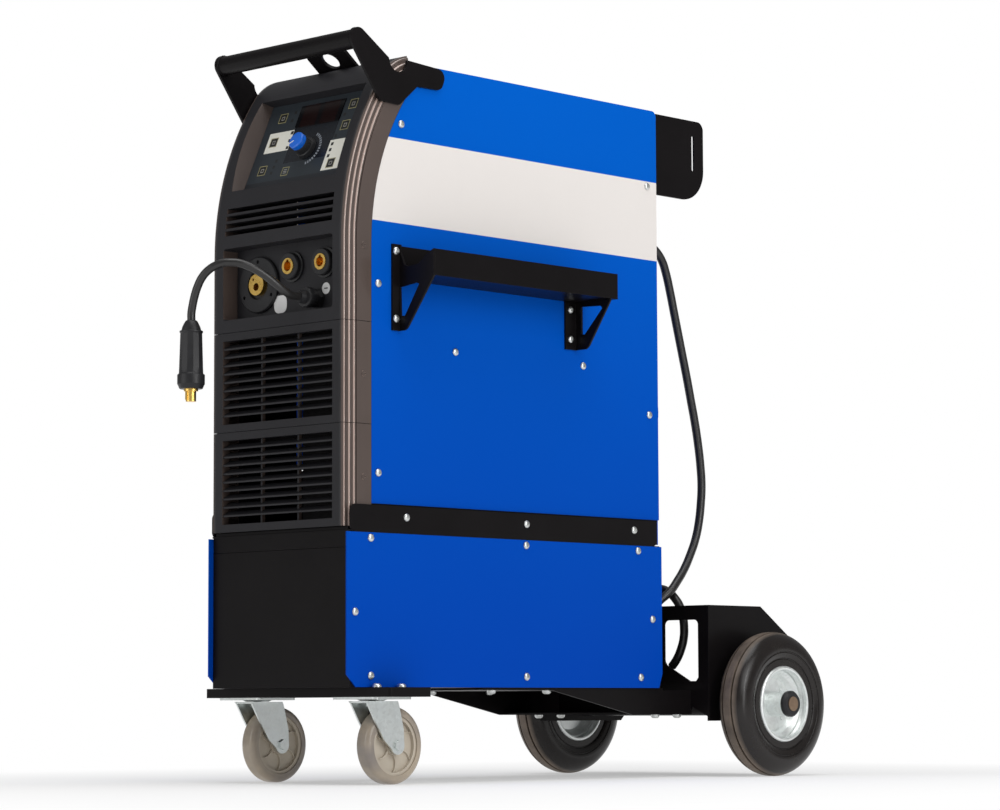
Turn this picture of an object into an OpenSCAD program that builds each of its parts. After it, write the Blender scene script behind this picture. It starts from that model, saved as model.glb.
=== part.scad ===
// Compact MIG welder on a two-wheel cart with front casters.
// Millimetres. Origin on the ground under the middle of the cart, +Z up, front towards -Y.
// Inside the modules y is measured back from the front face; from_front() moves it into place.

/* [Cabinet] */
// Outside width over the upper side panels
cab_w = 254; // [246:1:270]
// Depth from the front face to the back of the rear panel
cab_d = 597; // [585:1:615]
// Height of the upper side panels
cab_h = 572; // [560:1:590]
// Thickness of the folded sheet
sheet = 2; // [1.6:0.1:2.4]
// Radius of the curved front, at the face
nose_r = 385; // [375:5:400]
// Radius where the curved front turns into the top
brow_r = 75; // [70:1:80]
// Angle through which the large front radius runs
nose_angle = 35; // [33:1:36]
// Height of the front face's straight part above the tray
nose_start = 361; // [355:1:370]
// Depth of the plastic side strip of the front
strip_d = 46; // [42:1:50]
// Width left outside the front face at each side for the ribbed flank
flank = 5.5; // [4.5:0.5:6]
// Wall of the moulded front
mould_wall = 3; // [2.5:0.5:3.5]

/* [Front openings] */
// Width of the openings in the front face
opening_w = 208; // [200:1:212]
// Height of each grille module
module_h = 130; // [126:1:134]
// Height of a grille opening
grille_h = 109; // [100:1:112]
// Louvres in each grille
louvre_count = 9; // [7:1:11]
// Thickness of a louvre
louvre_t = 2.4; // [2:0.1:3]
// Height of the connector bay
bay_h = 94; // [90:1:98]
// Depth of the connector bay
bay_d = 25; // [22:1:28]
// Tilt of the control panel back from upright, degrees
panel_tilt = 24; // [22:1:25]
// Length of the control panel up its slope
panel_len = 134; // [128:1:138]
// Width of the control panel
panel_w = 184; // [176:1:188]

/* [Sockets and knob] */
// Bore of the round cable sockets
dinse_bore = 13.2; // [13.1:0.05:13.4]
// Diameter of the plug pin
plug_pin_d = 13; // [12.6:0.1:13]
// Distance between the two round sockets
socket_pitch = 61; // [56:1:64]
// Depth of the torch socket's brass face behind the front face
torch_sunk = 17; // [12:1:22]
// How far the polarity lead's gland stands out of the front face
gland_out = 9; // [6:1:14]
// Bore of the torch socket
euro_bore = 10.2; // [9.8:0.1:10.6]
// Diameter of the knob's cap
knob_d = 24; // [20:1:26]
// Length of the knob
knob_len = 25; // [22:1:28]
// Diameter of the knob's shaft
shaft_d = 6; // [5:0.5:7]
// Radial running clearance of shafts, hubs and hinge pins
run_fit = 0.06; // [0.04:0.01:0.08]

/* [Plinth and tray] */
// How far the lower box and the tray stand out beside the cabinet
box_over = 4; // [3:0.5:8]
// Height of the lower box
box_h = 195; // [185:1:205]
// Height of the tray's side rims
rim_h = 34; // [28:1:40]
// How far the side panels stand in front of the lower front plate
front_inset = 7; // [5:1:9]

/* [Handle and brackets] */
// Diameter of the handle tube
grip_d = 25; // [22:1:28]
// Wall of the handle tube
grip_wall = 2; // [1.5:0.1:3]
// Thickness of the handle plates
handle_t = 4; // [3:0.5:5]
// Height of the handle tube's axis above the top of the cabinet
grip_rise = 18.5; // [14:0.5:24]
// Thickness of the bottle bracket and shelf steel
plate_t = 3; // [2.5:0.5:4]
// Reach of the bottle strap plates behind the cabinet
strap_reach = 102; // [95:1:110]
// Reach of the side shelf
shelf_reach = 65; // [60:1:75]
// Diameter of the lifting eye
eye_d = 26; // [20:1:30]

/* [Rear carrier and wheels] */
// Diameter of the rear wheels
wheel_d = 200; // [190:2:210]
// Width of the rear tyres
wheel_w = 50; // [44:1:54]
// Diameter of the rim's outer lip
rim_d = 106; // [100:1:112]
// Diameter of the rear axle
axle_d = 20; // [16:1:22]
// Distance from the cabinet's back to the rear axle
axle_back = 160; // [150:1:165]
// Width of the rear carrier
carrier_w = 320; // [310:1:330]
// Distance from the cabinet's back to the carrier's cross wall
wall_gap = 64; // [60:1:68]
// Height of the carrier's sides
carrier_h = 160; // [150:1:170]
// Depth of the bottle platform
platform_d = 184; // [176:1:190]
// Thickness of the carrier's steel
carrier_t = 3; // [2.5:0.5:4]

/* [Front casters] */
// Diameter of the caster wheels
caster_d = 98; // [94:1:100]
// Width of the caster tyres
caster_w = 24; // [22:1:34]
// Overall height of the casters
caster_h = 110; // [109:1:114]
// Distance the caster wheels trail behind their swivels
caster_trail = 30; // [28:1:34]
// Distance of each swivel inside the side of the lower box
caster_inset = 23; // [16:1:27]
// Diameter of the caster axle bolts
bolt_d = 8; // [6:1:10]
// Height of the cross channel above the casters
cross_h = 12; // [10:1:16]
// Length of the cross channel
cross_w = 348; // [340:1:360]

/* [Wire feed] */
// Diameter of the wire spool
spool_d = 196; // [180:1:200]
// Width of the wire spool
spool_w = 54; // [48:1:56]
// Diameter of the fan
fan_d = 150; // [130:2:160]

/* [Leads] */
// Diameter of the mains lead
mains_d = 12; // [12:1:12]
// Diameter of the polarity lead
lead_d = 10.5; // [10.5:1:10.5]
// Length of the cable plug's body
plug_len = 87; // [84:1:92]
// Length of the plug pin that shows
pin_len = 16; // [14:1:20]

/* [Hidden] */
$fn = 64;
fine = 48;
eps = 0.01;
gap = 0.3;            // clearance between curved faces of separate pieces
seat = 0.2;           // clearance of a sheet let in between two others
snug = 0.04;          // radial clearance of a pressed or clamped round part

box_w = cab_w + 2 * box_over;             // width of the lower box and of the tray
caster_x = box_w / 2 - caster_inset;      // distance of each swivel from the middle plane

// heights above the ground
z_plate = caster_h;                       // under the cross channel
z_box = z_plate + cross_h;                // underside of the lower box
z_tray = z_box + box_h;                   // underside of the tray floor
z_chassis = z_tray + sheet;               // underside of the upper chassis
z_mod = z_chassis + 4;                    // underside of the front modules
z_cab = z_tray + rim_h + 2;               // underside of the upper side panels
z_top = z_cab + cab_h;                    // top of the upper side panels
z_nose = z_mod + nose_start;              // where the front starts to curve
z_mid = z_mod + module_h;                 // joint between the two grille modules
z_ctl = z_mid + module_h;                 // joint under the control module
z_bay = z_ctl + 17;                       // lower edge of the connector bay
z_vent = z_bay + bay_h + 17;              // lowest vent slot
z_ledge = z_nose + 84;                    // lower edge of the control panel recess

// the front's curve, seen from the side
brow_y = nose_r - (nose_r - brow_r) * cos(nose_angle);
brow_z = z_nose + (nose_r - brow_r) * sin(nose_angle);
crest_z = brow_z + brow_r;                // top of the front moulding
crest_y = brow_y;
face_w = cab_w - 2 * flank;               // width of the plain front face
hood_back = crest_y + 26;                 // back edge of the hood
hood_step = 16;                           // from the hood's step back to the crest's middle

// cart
axle_y = cab_d + axle_back;
y_rear = axle_y + wheel_d / 2;            // rearmost point, on the tyres
y_mid = (y_rear - gland_out) / 2;
wheel_r = wheel_d / 2;
tyre_in = carrier_w / 2 + 9;              // inner face of the rear tyres
wheel_x = tyre_in + wheel_w / 2;
hub_half = wheel_w / 2 + 4;               // half length of the rear hubs
cap_t = 8;                                // thickness of the rear hub caps
axle_half = wheel_x + hub_half + gap + cap_t + 1;
wall_y = cab_d + wall_gap;                // front face of the carrier's cross wall
platform_z = wheel_r + 32;                // top of the bottle platform
carrier_z = wheel_r - 23;                 // lower edge of the carrier's sides
carrier_end = wall_y + carrier_t + platform_d;
swivel_y = 65.5;
caster_y = swivel_y + caster_trail;
caster_axle_z = caster_d / 2;

// bolt pattern of the casters, to each side of the swivel
plate_dx = 31;
plate_dy = 21.5;
plate_half = plate_dx + 9;                // half width of a caster's top plate
bolt_hole_r = 4.3;

// cross channel
cross_y0 = 33;
cross_d = 74;

// control panel plane
panel_depth = 14.5;
panel_y0 = nose_r - sqrt(nose_r * nose_r - pow(z_ledge - z_nose, 2)) + panel_depth;
knob_x = 9;
knob_s = 55;
lens_x = 11;
lens_s = 108;

// sockets
bay_plate_y = bay_d;
dinse_x = [4.5, 4.5 + socket_pitch];
dinse_z = z_bay + 63;
euro_x = -59;
euro_z = z_bay + 45;
euro_r = 14;                              // radius of the torch socket's brass block
gland_x = 51;
gland_z = z_bay + 17.5;

// spool compartment
door_y0 = 150;
door_y1 = cab_d - 37;
door_z0 = z_cab + 60;
door_z1 = z_top - 40;
door_rim = 10;
hinge_x = -cab_w / 2 - 4;
hinge_y = door_y1 + 1;
hinge_r = 4;
hinge_pin_r = 2.5;
hinge_zs = [door_z0 + 50, door_z1 - 50];
latch_y = door_y0 + 22;
latch_z = (door_z0 + door_z1) / 2;
latch_r = 7.5;
divider_x = -8;
spool_x = -72;
spool_y = door_y1 - 120;
spool_z = z_cab + 330;
spindle_r = 12;
feed_y = 190;                             // front of the wire feeder
feed_z = euro_z;                          // height of the wire's line
roll_r = 15;
roll_x = euro_x - 2;                      // middle of the drive roll
fan_x = cab_w / 2 - sheet - fan_d / 2 + 8; // the guard ring ends at the side panel
fan_z = z_cab + 150;
fan_pin_r = 4;

// mains inlet on the rear panel
inlet_x = 80;
inlet_z = z_top - 179;
switch_x = -60;
switch_z = z_top - 88;
switch_r = 6;
gas_x = -60;
gas_z = z_cab + 90;

black = [0.13, 0.12, 0.12];
blue = [0.0, 0.29, 0.73];
charcoal = [0.17, 0.18, 0.20];
zinc = [0.66, 0.69, 0.69];
brass = [0.80, 0.62, 0.22];

// ---------------------------------------------------------------- helpers

module from_front() { translate([0, -y_mid, 0]) children(); }

// a plate in the side view: 2-D x is y, 2-D y is z; it fills x from x0 to x0 + t
module side_plate(x0, t) {
    translate([x0, 0, 0]) rotate([90, 0, 90]) linear_extrude(t) children();
}

// a plate in the front view: 2-D x is x, 2-D y is z; it fills y from y0 to y0 + t
module front_plate(y0, t) {
    translate([0, y0 + t, 0]) rotate([90, 0, 0]) linear_extrude(t) children();
}

// a plate in the top view, filling z from z0 to z0 + t
module flat_plate(z0, t) { translate([0, 0, z0]) linear_extrude(t) children(); }

module box(lo, hi) { translate(lo) cube(hi - lo); }

module x_cyl(x0, x1, y, z, r) { translate([x0, y, z]) rotate([0, 90, 0]) cylinder(h = x1 - x0, r = r); }
module y_cyl(y0, y1, x, z, r) { translate([x, y0, z]) rotate([-90, 0, 0]) cylinder(h = y1 - y0, r = r); }
module z_cyl(z0, z1, x, y, r) { translate([x, y, z0]) cylinder(h = z1 - z0, r = r); }

// a body turned about the X axis; the 2-D profile is radius against x
module x_turned(x, y, z) {
    translate([x, y, z]) rotate([0, 90, 0]) rotate_extrude() children();
}
// a body turned about the Y axis; the profile's height runs back from y
module y_turned(x, y, z) {
    translate([x, y, z]) rotate([-90, 0, 0]) rotate_extrude() children();
}

module rounded_rect(x0, y0, x1, y1, r) {
    union() {
        translate([x0 + r, y0]) square([x1 - x0 - 2 * r, y1 - y0]);
        translate([x0, y0 + r]) square([x1 - x0, y1 - y0 - 2 * r]);
        for (x = [x0 + r, x1 - r], y = [y0 + r, y1 - r]) translate([x, y]) circle(r);
    }
}

// both sides of the middle plane
module both_sides() { children(); mirror([1, 0, 0]) children(); }

// unit vector, and the direction of a path at one of its points
function unit(v) = v / norm(v);
function tangent(p, i) = i == 0 ? unit(p[1] - p[0])
    : i == len(p) - 1 ? unit(p[i] - p[i - 1]) : unit(unit(p[i + 1] - p[i]) + unit(p[i] - p[i - 1]));
// frames carried along the path without twist
function carry(n, t) = unit(n - (n * t) * t);
function frames(p, n0) = [for (i = 0, n = carry(n0, tangent(p, 0)); i < len(p);
    i = i + 1, n = i < len(p) ? carry(n, tangent(p, i)) : n) n];
// a round tube of s sides along points p, as one closed polyhedron
module swept_tube(p, d, s, n0 = [0, 0, 1]) {
    n = frames(p, n0);
    pts = [for (i = [0 : len(p) - 1]) let (t = tangent(p, i), b = cross(t, n[i]))
        for (k = [0 : s - 1]) p[i] + (d / 2) * (cos(360 * k / s) * n[i] + sin(360 * k / s) * b)];
    last = (len(p) - 1) * s;
    walls = [for (i = [0 : len(p) - 2], k = [0 : s - 1]) let (a = i * s + k, b = i * s + (k + 1) % s)
        each [[a, b + s, b], [a, a + s, b + s]]];
    caps = [for (k = [1 : s - 2]) each [[0, k, k + 1], [last, last + k + 1, last + k]]];
    polyhedron(points = pts, faces = [for (f = concat(walls, caps)) [f[0], f[2], f[1]]], convexity = 8);
}

// ---------------------------------------------------------------- cart frame

module lower_frame() {
    color(black) from_front() difference() {
        w = box_w / 2 - sheet;
        union() {
            box([-w, front_inset, z_box], [w, cab_d - sheet, z_box + sheet]);
            box([-w, front_inset, z_box], [w, front_inset + sheet, z_tray - 20]);
            box([-w, front_inset + sheet, z_tray - 22], [w, front_inset + 22, z_tray - 20]);
            box([-w, cab_d - 2 * sheet, z_box], [w, cab_d - sheet, z_tray]);
            both_sides() {
                box([w - sheet, front_inset, z_box], [w, cab_d - sheet, z_box + 22]);
                box([w - sheet, front_inset + sheet, z_tray - 20], [w, cab_d - sheet, z_tray]);
                for (y = [front_inset, cab_d - sheet - 24])
                    box([w - sheet, y, z_box], [w, y + 24, z_tray - (y > cab_d / 2 ? 0 : 20)]);
            }
        }
        for (s = [-1, 1], dy = [-plate_dy, plate_dy])
            z_cyl(z_box - 1, z_box + sheet + 1, s * (caster_x - plate_dx), swivel_y + dy, bolt_hole_r);
    }
}

module lower_side_outline() {
    difference() {
        translate([0, z_box + 0.3]) square([cab_d, box_h - 1.3]);
        polygon([[-1, z_box - 1], [16, z_box - 1], [16, z_box + 0.3], [0, z_box + 16], [-1, z_box + 16]]);
        polygon([[cab_d + 1, z_box - 1], [cab_d - 7, z_box - 1], [cab_d - 7, z_box + 0.3],
                 [cab_d, z_box + 20], [cab_d + 1, z_box + 20]]);
    }
}

module lower_panels() {
    color(blue) from_front() for (x = [-box_w / 2, box_w / 2 - sheet])
        side_plate(x, sheet) lower_side_outline();
}

// tray that the upper cabinet stands in: floor, front lip and two rims with round corners
module tray_rim() {
    y0 = front_inset - 1;
    y1 = cab_d - 9;
    color(black) from_front() {
        box([-box_w / 2, front_inset, z_tray], [box_w / 2, y1 - 10, z_tray + sheet]);
        box([sheet - box_w / 2, front_inset, z_tray - 19.6],
            [box_w / 2 - sheet, front_inset + sheet, z_tray + sheet]);
        for (x = [-box_w / 2, box_w / 2 - sheet])
            side_plate(x, sheet) rounded_rect(y0, z_tray - 0.7, y1, z_tray + rim_h, 9);
    }
}

module cross_channel() {
    color(black) from_front() difference() {
        flat_plate(z_plate, cross_h)
            rounded_rect(-cross_w / 2, cross_y0, cross_w / 2, cross_y0 + cross_d, 5);
        // open underside between the casters
        box([-caster_x + plate_half + 4, cross_y0 + 4, z_plate - 1],
            [caster_x - plate_half - 4, cross_y0 + cross_d - 4, z_plate + cross_h - 4]);
        for (s = [-1, 1], dx = [-plate_dx, plate_dx], dy = [-plate_dy, plate_dy])
            z_cyl(z_plate - 1, z_box + 1, s * (caster_x + dx), swivel_y + dy, bolt_hole_r);
    }
}

// ---------------------------------------------------------------- rear carrier

gusset_x = 126;                           // half distance between the outsides of the gussets
module carrier_side_outline() {
    polygon([[wall_y, carrier_z], [carrier_end - 14, carrier_z], [carrier_end, carrier_z + 14],
             [carrier_end, carrier_z + 0.7 * carrier_h], [wall_y + 0.62 * platform_d, carrier_z + carrier_h],
             [wall_y, carrier_z + carrier_h]]);
}

module carrier_window() {
    // rounded window whose lower edge follows the slanted edge of the wall
    x0 = 79;
    x1 = carrier_w / 2 - 19;
    z1 = carrier_z + carrier_h - 20;
    union() {
        rounded_rect(x0, z_box + 33, x1, z1, 7);
        polygon([[x0, z_box + 42], [x0 + 3, z_box + 33], [x1 - 16, z_box + 10], [x1 - 4, z_box + 10],
                 [x1, z_box + 15], [x1, z_box + 50], [x0, z_box + 50]]);
    }
}

module rear_carrier() {
    w = carrier_w / 2;
    top_y0 = 245;                 // front edge of the plate under the box
    z_tie = carrier_z + 9;        // underside of the gussets and of the tie plate
    color(black) from_front() difference() {
        union() {
            // plate bolted under the box, reaching the cross wall
            box([-gusset_x, top_y0, z_box - carrier_t], [gusset_x, cab_d + 6, z_box]);
            // tapered gussets and the tie plate under them
            for (x = [-gusset_x, gusset_x - carrier_t])
                side_plate(x, carrier_t) polygon([[top_y0 + 135, z_box - carrier_t], [cab_d - 57, z_tie],
                    [wall_y, z_tie], [wall_y, z_box - carrier_t]]);
            box([-gusset_x, cab_d - 50, z_tie], [gusset_x, wall_y + 1, z_tie + carrier_t]);
            // cross wall
            front_plate(wall_y, carrier_t) difference() {
                polygon([[-w, carrier_z + carrier_h], [-w, carrier_z + 5], [-gusset_x - 4, carrier_z + 19],
                         [-gusset_x, z_tie], [gusset_x, z_tie], [gusset_x + 4, carrier_z + 19],
                         [w, carrier_z + 5], [w, carrier_z + carrier_h]]);
                both_sides() carrier_window();
            }
            // sides and bottle platform
            for (x = [-w, w - carrier_t]) side_plate(x, carrier_t) carrier_side_outline();
            box([-w, wall_y, platform_z - carrier_t], [w, carrier_end - 2, platform_z]);
            // bearing tube of the axle
            x_cyl(-w, w, axle_y, wheel_r, axle_d / 2 + 6);
        }
        x_cyl(-w - 1, w + 1, axle_y, wheel_r, axle_d / 2 + run_fit);
    }
}

module rear_axle() {
    color(zinc) from_front() x_cyl(-axle_half, axle_half, axle_y, wheel_r, axle_d / 2);
}

// collars inside the wheels and caps outside them
module hub_caps() {
    r0 = axle_d / 2;
    color(black) from_front() for (s = [0, 1]) mirror([s, 0, 0]) {
        difference() {
            x_cyl(carrier_w / 2 + gap, wheel_x - hub_half - gap, axle_y, wheel_r, r0 + 6);
            x_cyl(0, wheel_x, axle_y, wheel_r, r0 + snug);
        }
        x_turned(wheel_x + hub_half + gap, axle_y, wheel_r) polygon([[r0 + snug, 0],
            [r0 + 8, 0], [r0 + 8, cap_t - 3], [r0 + 5.5, cap_t], [r0 + snug, cap_t]]);
    }
}

// tyre section: nearly round, with two grooves in the tread and two in each wall
module tyre_section() {
    r = wheel_r;
    h = wheel_w / 2;
    ri = rim_d / 2;
    rc = h - 1.5;
    difference() {
        intersection() {
            translate([ri, -h]) square([r - ri, 2 * h]);
            union() {
                for (s = [-1.5, 1.5]) translate([r - rc, s]) circle(rc);
                translate([ri, 4 - h]) square([r - rc - ri, 2 * h - 8]);
            }
        }
        for (s = [-1, 1]) translate([r - 3.5, s * 7.5 - 1.4]) square([4, 2.8]);
        for (s = [-1, 1], d = [0, 1]) translate([r - 28 - 9 * d, s * (h - 0.4 - 3.6 * d)]) circle(1.3);
    }
}

module rear_tyre(s) {
    color([0.10, 0.10, 0.10]) from_front() x_turned(s * wheel_x, axle_y, wheel_r) tyre_section();
}

// pressed rim: a dished disc with a rolled lip, a hub tube and four rivets
module rim_section() {
    ri = rim_d / 2;
    h = wheel_w / 2;
    rh = axle_d / 2 + run_fit;
    difference() {
        union() {
            translate([rh, -hub_half]) square([7, 2 * hub_half]);
            translate([rh, -1.5]) square([28, 3]);
            polygon([[rh + 24, -1.5], [ri - 9, h - 12], [ri - 5, h - 12], [ri - gap, h - 4],
                     [ri - gap, 4 - h], [ri - 5, 12 - h], [ri - 9, 12 - h]]);
            for (s = [-1, 1]) translate([ri - 3 - gap, s * (h - 4)]) circle(3);
        }
        for (s = [-1, 1]) polygon([[rh + 24.5, s * 1.5], [ri - 5, s * (h - 9)], [ri - 5, s * (h + 1)],
            [rh + 8, s * (h + 1)], [rh + 8, s * 1.5]]);
    }
}
module rear_rim(s) {
    rh = axle_d / 2 + run_fit;
    color(zinc) from_front() union() {
        x_turned(s * wheel_x, axle_y, wheel_r) rim_section();
        for (a = [45 : 90 : 315])
            translate([s * wheel_x, axle_y + (rh + 17) * cos(a), wheel_r + (rh + 17) * sin(a)])
                rotate([0, 90, 0]) translate([0, 0, -4]) cylinder(h = 8, r = 4, $fn = 24);
    }
}
module tyre_right() { rear_tyre(1); }
module tyre_left() { rear_tyre(-1); }
module rim_right() { rear_rim(1); }
module rim_left() { rear_rim(-1); }

// ---------------------------------------------------------------- casters

fork_t = 2.5;
fork_in = caster_w / 2 + 1.5;             // inner face of each fork leg
fork_out = fork_in + fork_t;
crown_z = caster_h - 5;                   // top of the fork's crown
pin_r = 5;                                // swivel pin

module at_caster(s) { from_front() translate([s * caster_x, swivel_y, 0]) children(); }

// top plate with its raised race and the swivel pin
module caster_plate(s) {
    color(zinc) at_caster(s) difference() {
        union() {
            flat_plate(z_plate - 3, 3) rounded_rect(-plate_half, -33, plate_half, 33, 6);
            translate([0, 0, crown_z + gap]) cylinder(h = z_plate - 3 - crown_z - gap, r1 = 15, r2 = 19);
            z_cyl(crown_z - 5, z_plate - 2, 0, 0, pin_r);
            z_cyl(crown_z - 6.5, crown_z - fork_t - gap, 0, 0, pin_r + 3);
        }
        for (dx = [-plate_dx, plate_dx], dy = [-plate_dy, plate_dy])
            z_cyl(z_plate - 4, z_plate + 1, dx, dy, bolt_hole_r);
    }
}

// fork leg seen from the side, y back from the swivel
module fork_leg_outline() {
    union() {
        translate([caster_trail, caster_axle_z]) circle(11.5);
        polygon([[-26, crown_z], [-23, crown_z - 3], [-11, crown_z - 23], [6, caster_axle_z + 7],
                 [caster_trail - 10.5, caster_axle_z - 4.5], [caster_trail + 11.4, caster_axle_z - 1],
                 [caster_trail + 10.5, caster_axle_z + 20], [caster_trail + 2, crown_z - 4],
                 [caster_trail, crown_z]]);
    }
}

module caster_fork(s) {
    color(zinc) at_caster(s) difference() {
        union() {
            for (x = [-fork_out, fork_in]) side_plate(x, fork_t) fork_leg_outline();
            flat_plate(crown_z - fork_t, fork_t) rounded_rect(-fork_out, -24, fork_out, caster_trail, 3);
        }
        z_cyl(crown_z - fork_t - 1, crown_z + 1, 0, 0, pin_r + run_fit);
        x_cyl(-40, 40, caster_trail, caster_axle_z, bolt_d / 2 + snug);
    }
}

module caster_bolt(s) {
    color(zinc) at_caster(s) union() {
        x_cyl(-fork_out - 3, fork_out + 3, caster_trail, caster_axle_z, bolt_d / 2);
        for (x = [-fork_out - 3, fork_out])
            translate([x, caster_trail, caster_axle_z]) rotate([0, 90, 0]) cylinder(h = 3, r = 7, $fn = 6);
    }
}

// hub with a web and curved ribs
module caster_core(s) {
    r_core = caster_d / 2 - 11;
    h = caster_w / 2 - 2;
    color([0.62, 0.60, 0.56]) at_caster(s)
        translate([0, caster_trail, caster_axle_z]) rotate([0, 90, 0]) union() {
        rotate_extrude() difference() {
            translate([bolt_d / 2 + run_fit, -h]) square([r_core - bolt_d / 2 - run_fit, 2 * h]);
            for (e = [-1, 1]) translate([12, e > 0 ? 5 : -5 - h]) square([r_core - 16, h]);
        }
        for (a = [0 : 60 : 300]) rotate([0, 0, a]) translate([0, 0, -h + 2]) linear_extrude(2 * h - 4)
            difference() {
                translate([r_core / 2 + 2, -12]) circle(17);
                translate([r_core / 2 + 3.5, -12.5]) circle(15.6);
                translate([-60, -60]) square([120, 59]);
                difference() { circle(90); circle(r_core - 3); }
                circle(10);
            }
    }
}

module caster_tyre(s) {
    r_core = caster_d / 2 - 11;
    h = caster_w / 2;
    color([0.45, 0.45, 0.47]) at_caster(s) translate([0, caster_trail, caster_axle_z]) rotate([0, 90, 0])
        rotate_extrude() intersection() {
            translate([r_core + snug, -h]) square([caster_d / 2 - r_core - snug, 2 * h]);
            union() {
                translate([r_core, -h]) square([caster_d / 2 - r_core - 7, 2 * h]);
                translate([r_core, -h + 7]) square([caster_d / 2 - r_core, 2 * h - 14]);
                for (e = [-1, 1]) translate([caster_d / 2 - 7, e * (h - 7)]) circle(7);
            }
        }
}

module caster_plate_right() { caster_plate(1); }
module caster_plate_left() { caster_plate(-1); }
module caster_fork_right() { caster_fork(1); }
module caster_fork_left() { caster_fork(-1); }
module caster_bolt_right() { caster_bolt(1); }
module caster_bolt_left() { caster_bolt(-1); }
module caster_core_right() { caster_core(1); }
module caster_core_left() { caster_core(-1); }
module caster_tyre_right() { caster_tyre(1); }
module caster_tyre_left() { caster_tyre(-1); }

// ---------------------------------------------------------------- upper cabinet

inner_w = cab_w / 2 - sheet;              // inside of the side panels

// side of the cabinet behind the moulded front, inset by t from the curve
module cabinet_side(y1, inset = 0) {
    r = nose_r - strip_d - 0.5 - inset;
    difference() {
        translate([strip_d + 0.5 + inset, z_cab]) square([y1 - strip_d - 0.5 - inset, cab_h]);
        // area in front of the curve
        difference() {
            translate([0, z_nose]) square([nose_r, cab_h]);
            translate([nose_r, z_nose]) circle(r, $fn = 180);
        }
        // round rear top corner
        difference() {
            translate([y1 - 8, z_top - 8]) square([9, 9]);
            translate([y1 - 8, z_top - 8]) circle(8);
        }
    }
}

module side_panel_right() {
    color(blue) from_front() side_plate(inner_w, sheet) cabinet_side(cab_d);
}

module side_panel_left() {
    color(blue) from_front() union() {
        side_plate(-cab_w / 2, sheet) difference() {
            cabinet_side(cab_d);
            rounded_rect(door_y0, door_z0, door_y1, door_z1, 6);
        }
        // fixed knuckles with their pins
        for (z = hinge_zs) {
            z_cyl(z, z + 20, hinge_x, hinge_y, hinge_r);
            box([hinge_x - 1, hinge_y, z], [-cab_w / 2, hinge_y + 18, z + 20]);
            z_cyl(z - 21, z + 1, hinge_x, hinge_y, hinge_pin_r);
        }
    }
}

// moving knuckles of the door on the vertical hinge line
module hinge_leaf(z0, z1) {
    difference() {
        union() {
            z_cyl(z0, z1, hinge_x, hinge_y, hinge_r);
            box([hinge_x - 1, hinge_y - 18, z0], [-cab_w / 2 - gap, hinge_y, z1]);
            box([-cab_w / 2 - gap, hinge_y - 18, z0], [-cab_w / 2, door_y1 - 2, z1]);
        }
        z_cyl(z0 - 1, z1 + 1, hinge_x, hinge_y, hinge_pin_r + run_fit);
    }
}

module spool_door() {
    x0 = -cab_w / 2;
    color(blue) from_front() difference() {
        union() {
            side_plate(x0, sheet)
                rounded_rect(door_y0 + 1.5, door_z0 + 1.5, door_y1 - 1.5, door_z1 - 1.5, 5);
            // folded rim inside
            side_plate(x0, door_rim) difference() {
                rounded_rect(door_y0 + 4, door_z0 + 4, door_y1 - 4, door_z1 - 4, 5);
                rounded_rect(door_y0 + 6, door_z0 + 6, door_y1 - 6, door_z1 - 6, 3);
            }
            for (z = hinge_zs) hinge_leaf(z - 20, z - 0.3);
        }
        x_cyl(x0 - 1, x0 + sheet + 1, latch_y, latch_z, latch_r + run_fit);
        // the rim is open where the latch swings
        box([x0 + sheet, door_y0 + 3, latch_z - 34], [x0 + door_rim + 1, door_y0 + 7, latch_z + 34]);
    }
}

// quarter-turn latch in the door, released: grip, shank and a hooked tongue that points down
module door_latch() {
    x0 = -cab_w / 2;
    reach = latch_y - door_y0 + 4;
    color(black) from_front() union() {
        x_cyl(x0 - 3, x0 - gap, latch_y, latch_z, 12);
        x_cyl(x0 - 3, x0 + door_rim + 3, latch_y, latch_z, latch_r);
        box([x0 - 10, latch_y - 11, latch_z - 2.5], [x0 - 2, latch_y + 11, latch_z + 2.5]);
        box([x0 + door_rim, latch_y - 6, latch_z - reach], [x0 + door_rim + 3, latch_y + 6, latch_z + 7]);
        box([x0 + sheet + gap, latch_y - 6, latch_z - reach],
            [x0 + door_rim + 3, latch_y + 6, latch_z - reach + 3.5]);
    }
}

module chassis() {
    w = inner_w - seat;
    y0 = strip_d;
    y1 = cab_d - sheet;
    color(black) from_front() difference() {
        union() {
            box([-w, front_inset + 1, z_chassis], [w, y1, z_mod]);
            for (x = [-w, w - sheet]) box([x, y0, z_mod - 1], [x + sheet, y1, z_cab + 14]);
            // front plate behind the moulded modules
            box([-w, y0, z_chassis], [w, y0 + sheet, z_nose - 4]);
            // divider between the power side and the wire side
            side_plate(divider_x - sheet, sheet) intersection() {
                cabinet_side(y1, 10);
                translate([0, z_chassis]) square([y1, lift_foot - z_chassis]);
            }
            box([divider_x - sheet, y0, z_mod - 1], [divider_x, y1, z_cab + 1]);
            // spindle of the wire spool with its flange and end nut
            x_cyl(spool_x - spool_w / 2 - 7, divider_x - sheet + eps, spool_y, spool_z, spindle_r);
            x_cyl(spool_x + spool_w / 2 + gap, spool_x + spool_w / 2 + 5, spool_y, spool_z, 30);
            x_cyl(spool_x - spool_w / 2 - 7, spool_x - spool_w / 2 - gap, spool_y, spool_z, 17);
        }
        // air windows behind the grilles
        for (z = [z_mod, z_mid], x = [divider_x + 8, -w + 8])
            box([x, y0 - 1, z + 14], [x > 0 ? w - 8 : divider_x - 10, y0 + sheet + 1, z + module_h - 14]);
        // clearance for the sockets' shanks
        for (x = dinse_x) y_cyl(y0 - 1, y0 + sheet + 1, x, dinse_z, 15);
        y_cyl(y0 - 1, y0 + sheet + 1, euro_x, euro_z, 22);
    }
}

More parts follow.
